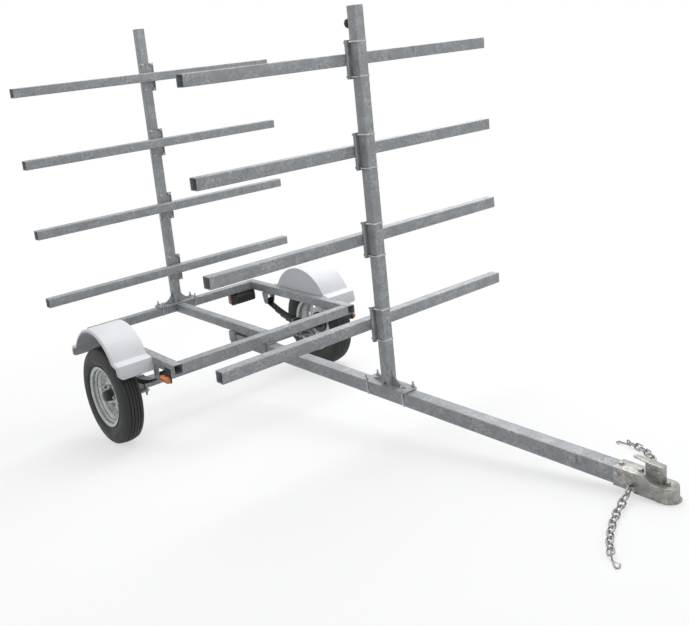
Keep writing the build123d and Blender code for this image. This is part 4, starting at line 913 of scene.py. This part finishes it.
def bead(start, end, radius=WELD_RADIUS):
    """A rippled weld between two points."""
    start, end = Vector(start), Vector(end)
    count = max(int((end - start).length / WELD_PITCH * 4), 4)
    path = [start.lerp(end, step / count) for step in range(count + 1)]
    mean, swing = (1 + WELD_LOW_SHARE) / 2, (1 - WELD_LOW_SHARE) / 2
    radii = [radius * (mean + swing * math.cos(math.pi * step / 2)) for step in range(count + 1)]
    radii[0] = radii[-1] = radius * WELD_END_SHARE
    return tube(path, radii, WELD_SIDES)


def upright_bead(x, y):
    """A weld up the side of one of the frame's tubes."""
    return bead((x, y, FRAME_BOTTOM + WELD_SHORT), (x, y, FRAME_TOP - WELD_SHORT))


def across_bead(x, y, dx, dy):
    """Welds on top of the frame and below it, as far as they reach to each side of a point."""
    return [bead((x - dx, y - dy, z), (x + dx, y + dy, z)) for z in (FRAME_TOP, FRAME_BOTTOM)]


beads = []
for member_x, inward in ((FRONT_MEMBER_X, -1), (REAR_MEMBER_X, 1)):
    inner_x = member_x + inward * TUBE / 2
    for sign in SIDES.values():
        inner_rail_y = sign * (RAIL_Y - TUBE / 2)
        beads += across_bead(member_x, inner_rail_y, WELD_HALF, 0)
        beads.append(upright_bead(inner_x, inner_rail_y))
    beads += across_bead(inner_x, 0, 0, WELD_HALF)
    beads += [upright_bead(inner_x, y) for y in (-TUBE / 2, TUBE / 2)]
for post in POSTS.values():
    foot = Vector((post["x"], 0, post["base"] + FOOT_THICK))
    corners = [foot + Vector((x, y, 0)) * TUBE / 2 for x, y in ((-1, -1), (1, -1), (1, 1), (-1, 1))]
    beads += [bead(one, two) for one, two in zip(corners, corners[1:] + corners[:1])]
    along = post["along"]
    for toward in (-along, along):
        for edge in (-GUSSET_HALF, GUSSET_HALF):
            root = foot + toward * GUSSET_AT + UP.cross(along) * edge
            beads += [bead(root, root + way * GUSSET_WELD, THIN_WELD_RADIUS) for way in (toward, UP)]
piece("weld_beads", joined(beads), "galvanised_steel", sharp=60.0)

# Washers under the coupler's top bolts, and pins through its latch
COUPLER_TOP = TONGUE_TOP + COUPLER_WALL
COUPLER_REAR_X = 2590.0
TOP_BOLTS = (14.0, 88.0)
TOP_WASHER = (6.0, 11.5, 1.8)
LATCH_HALF = 13.0
LATCH_PINS = ((2714.0, 27.0), (2752.0, 20.0))
PIN_SECTION = ((-2, 4.0), (1.6, 4.0), (2.8, 2.6), (3.0, 0.0))
PIN_SIDES = 20
small = [
    moved(washer(*TOP_WASHER), Matrix.Translation((COUPLER_REAR_X + ahead, 0, COUPLER_TOP)))
    for ahead in TOP_BOLTS
]
for sign in SIDES.values():
    for x, rise in LATCH_PINS:
        pin_frame = placed((x, sign * LATCH_HALF, COUPLER_TOP + rise), (1, 0, 0), (0, sign, 0))
        small.append(moved(turned(PIN_SECTION, PIN_SIDES), pin_frame))
piece("coupler_fittings", joined(small), "bright_zinc")

# Camera: where the photograph was taken from, in the level frame, tipped with the trailer
PHOTO_WIDTH = 689.0
PHOTO_HEIGHT = 626.0
FOCAL_PX = 867.9
CENTRE_PX = (294.8, 228.4)
CAMERA_AT = (4227.7, -2476.3, 1712.1)
CAMERA_AZIMUTH = 0.6313
CAMERA_DOWN = 0.2027
CAMERA_ROLL = -0.1111
FAR_CLIP = 60.0
level_reach = math.cos(CAMERA_DOWN)
forward = Vector((-level_reach * math.cos(CAMERA_AZIMUTH), level_reach * math.sin(CAMERA_AZIMUTH),
                  -math.sin(CAMERA_DOWN)))
level_right = forward.cross(UP).normalized()
level_up = level_right.cross(forward)
right = math.cos(CAMERA_ROLL) * level_right + math.sin(CAMERA_ROLL) * level_up
up = -math.sin(CAMERA_ROLL) * level_right + math.cos(CAMERA_ROLL) * level_up
tip = PARK.to_quaternion().to_matrix()
axes = [tip @ right, tip @ up, tip @ -forward]
camera_data = bpy.data.cameras.new("camera")
camera_data.sensor_fit = "HORIZONTAL"
camera_data.lens = camera_data.sensor_width * FOCAL_PX / PHOTO_WIDTH
camera_data.shift_x = (PHOTO_WIDTH / 2 - CENTRE_PX[0]) / PHOTO_WIDTH
camera_data.shift_y = (CENTRE_PX[1] - PHOTO_HEIGHT / 2) / PHOTO_WIDTH
camera_data.clip_end = FAR_CLIP
camera = bpy.data.objects.new("camera", camera_data)
camera.matrix_world = Matrix.Translation(PARK @ Vector(CAMERA_AT)) @ Matrix(axes).transposed().to_4x4()
bpy.context.scene.collection.objects.link(camera)
bpy.context.scene.camera = camera


# Floor, world and lamps
FLOOR_REACH = 14.0
FLOOR_GREY = (0.40, 0.40, 0.41)
FLOOR_WHITE = (0.95, 0.95, 0.95)
SKY = (0.955, 0.975, 1.0)
SKY_STRENGTH = 0.56


def seen_rays(tree):
    """One for rays from the camera, from gloss and through glass, and nought for the rest."""
    rays = tree.nodes.new("ShaderNodeLightPath")
    total = rays.outputs["Is Camera Ray"]
    for name in ("Is Glossy Ray", "Is Transmission Ray"):
        larger = tree.nodes.new("ShaderNodeMath")
        larger.operation = "MAXIMUM"
        link(tree, total, larger.inputs[0])
        link(tree, rays.outputs[name], larger.inputs[1])
        total = larger.outputs[0]
    return total


def mixed_shader(tree, factor, one, two):
    """Mix two shaders by a socket."""
    node = tree.nodes.new("ShaderNodeMixShader")
    link(tree, factor, node.inputs["Fac"])
    link(tree, one, node.inputs[1])
    link(tree, two, node.inputs[2])
    return node.outputs[0]


def stage_floor():
    """A pale floor: white with a soft shadow where it is seen, and greyer for the light that it gives back."""
    mesh = bpy.data.meshes.new("floor")
    corners = [(x * FLOOR_REACH, y * FLOOR_REACH, 0) for x, y in ((-1, -1), (1, -1), (1, 1), (-1, 1))]
    mesh.from_pydata(corners, [], [(0, 1, 2, 3)])
    floor = bpy.data.objects.new("floor", mesh)
    bpy.context.scene.collection.objects.link(floor)
    material, tree, shader = new_material("floor", 0.9, color=FLOOR_GREY)
    shader.inputs["Specular IOR Level"].default_value = 0.1
    pale = tree.nodes.new("ShaderNodeBsdfDiffuse")
    pale.inputs["Color"].default_value = (*FLOOR_WHITE, 1)
    glow = tree.nodes.new("ShaderNodeEmission")
    glow.inputs["Strength"].default_value = 1.0
    ball = tree.nodes.new("ShaderNodeTexGradient")
    ball.gradient_type = "SPHERICAL"
    link(tree, stretched(tree, object_point(tree), (0.22, 0.30, 0.22)), ball.inputs["Vector"])
    share = ramp(tree, ball.outputs["Fac"], ((0.0, 1.0), (0.45, 0.62)))
    white = mixed_shader(tree, share, pale.outputs[0], glow.outputs[0])
    surface = mixed_shader(tree, seen_rays(tree), shader.outputs[0], white)
    link(tree, surface, tree.nodes["Material Output"].inputs["Surface"])
    floor.data.materials.append(material)


def lamp(name, at, aim, size, power):
    """A soft square lamp at a point in metres, aimed at another."""
    data = bpy.data.lights.new(name, "AREA")
    data.size = size
    data.energy = power
    made = bpy.data.objects.new(name, data)
    made.location = at
    made.rotation_euler = (Vector(aim) - Vector(at)).to_track_quat("-Z", "Y").to_euler()
    bpy.context.scene.collection.objects.link(made)


def stage_world():
    """Even studio light, white where the camera, gloss or glass sees it."""
    world = bpy.data.worlds.new("studio")
    bpy.context.scene.world = world
    world.use_nodes = True
    tree = world.node_tree
    light = tree.nodes["Background"]
    light.inputs["Color"].default_value = (*SKY, 1)
    light.inputs["Strength"].default_value = SKY_STRENGTH
    white = tree.nodes.new("ShaderNodeBackground")
    white.inputs["Color"].default_value = (1, 1, 1, 1)
    white.inputs["Strength"].default_value = 1.0
    surface = mixed_shader(tree, seen_rays(tree), light.outputs[0], white.outputs[0])
    link(tree, surface, tree.nodes["World Output"].inputs["Surface"])


stage_floor()
stage_world()
lamp("top", at=(-0.8, 1.6, 6.0), aim=(-0.2, 0, 0.6), size=4.5, power=205)
lamp("key", at=(-2.5, 4.5, 4.0), aim=(-0.3, 0, 0.7), size=3.0, power=60)
lamp("front", at=(5.5, 2.0, 3.0), aim=(0, 0, 0.7), size=3.0, power=45)

bpy.context.scene.view_settings.view_transform = "Standard"
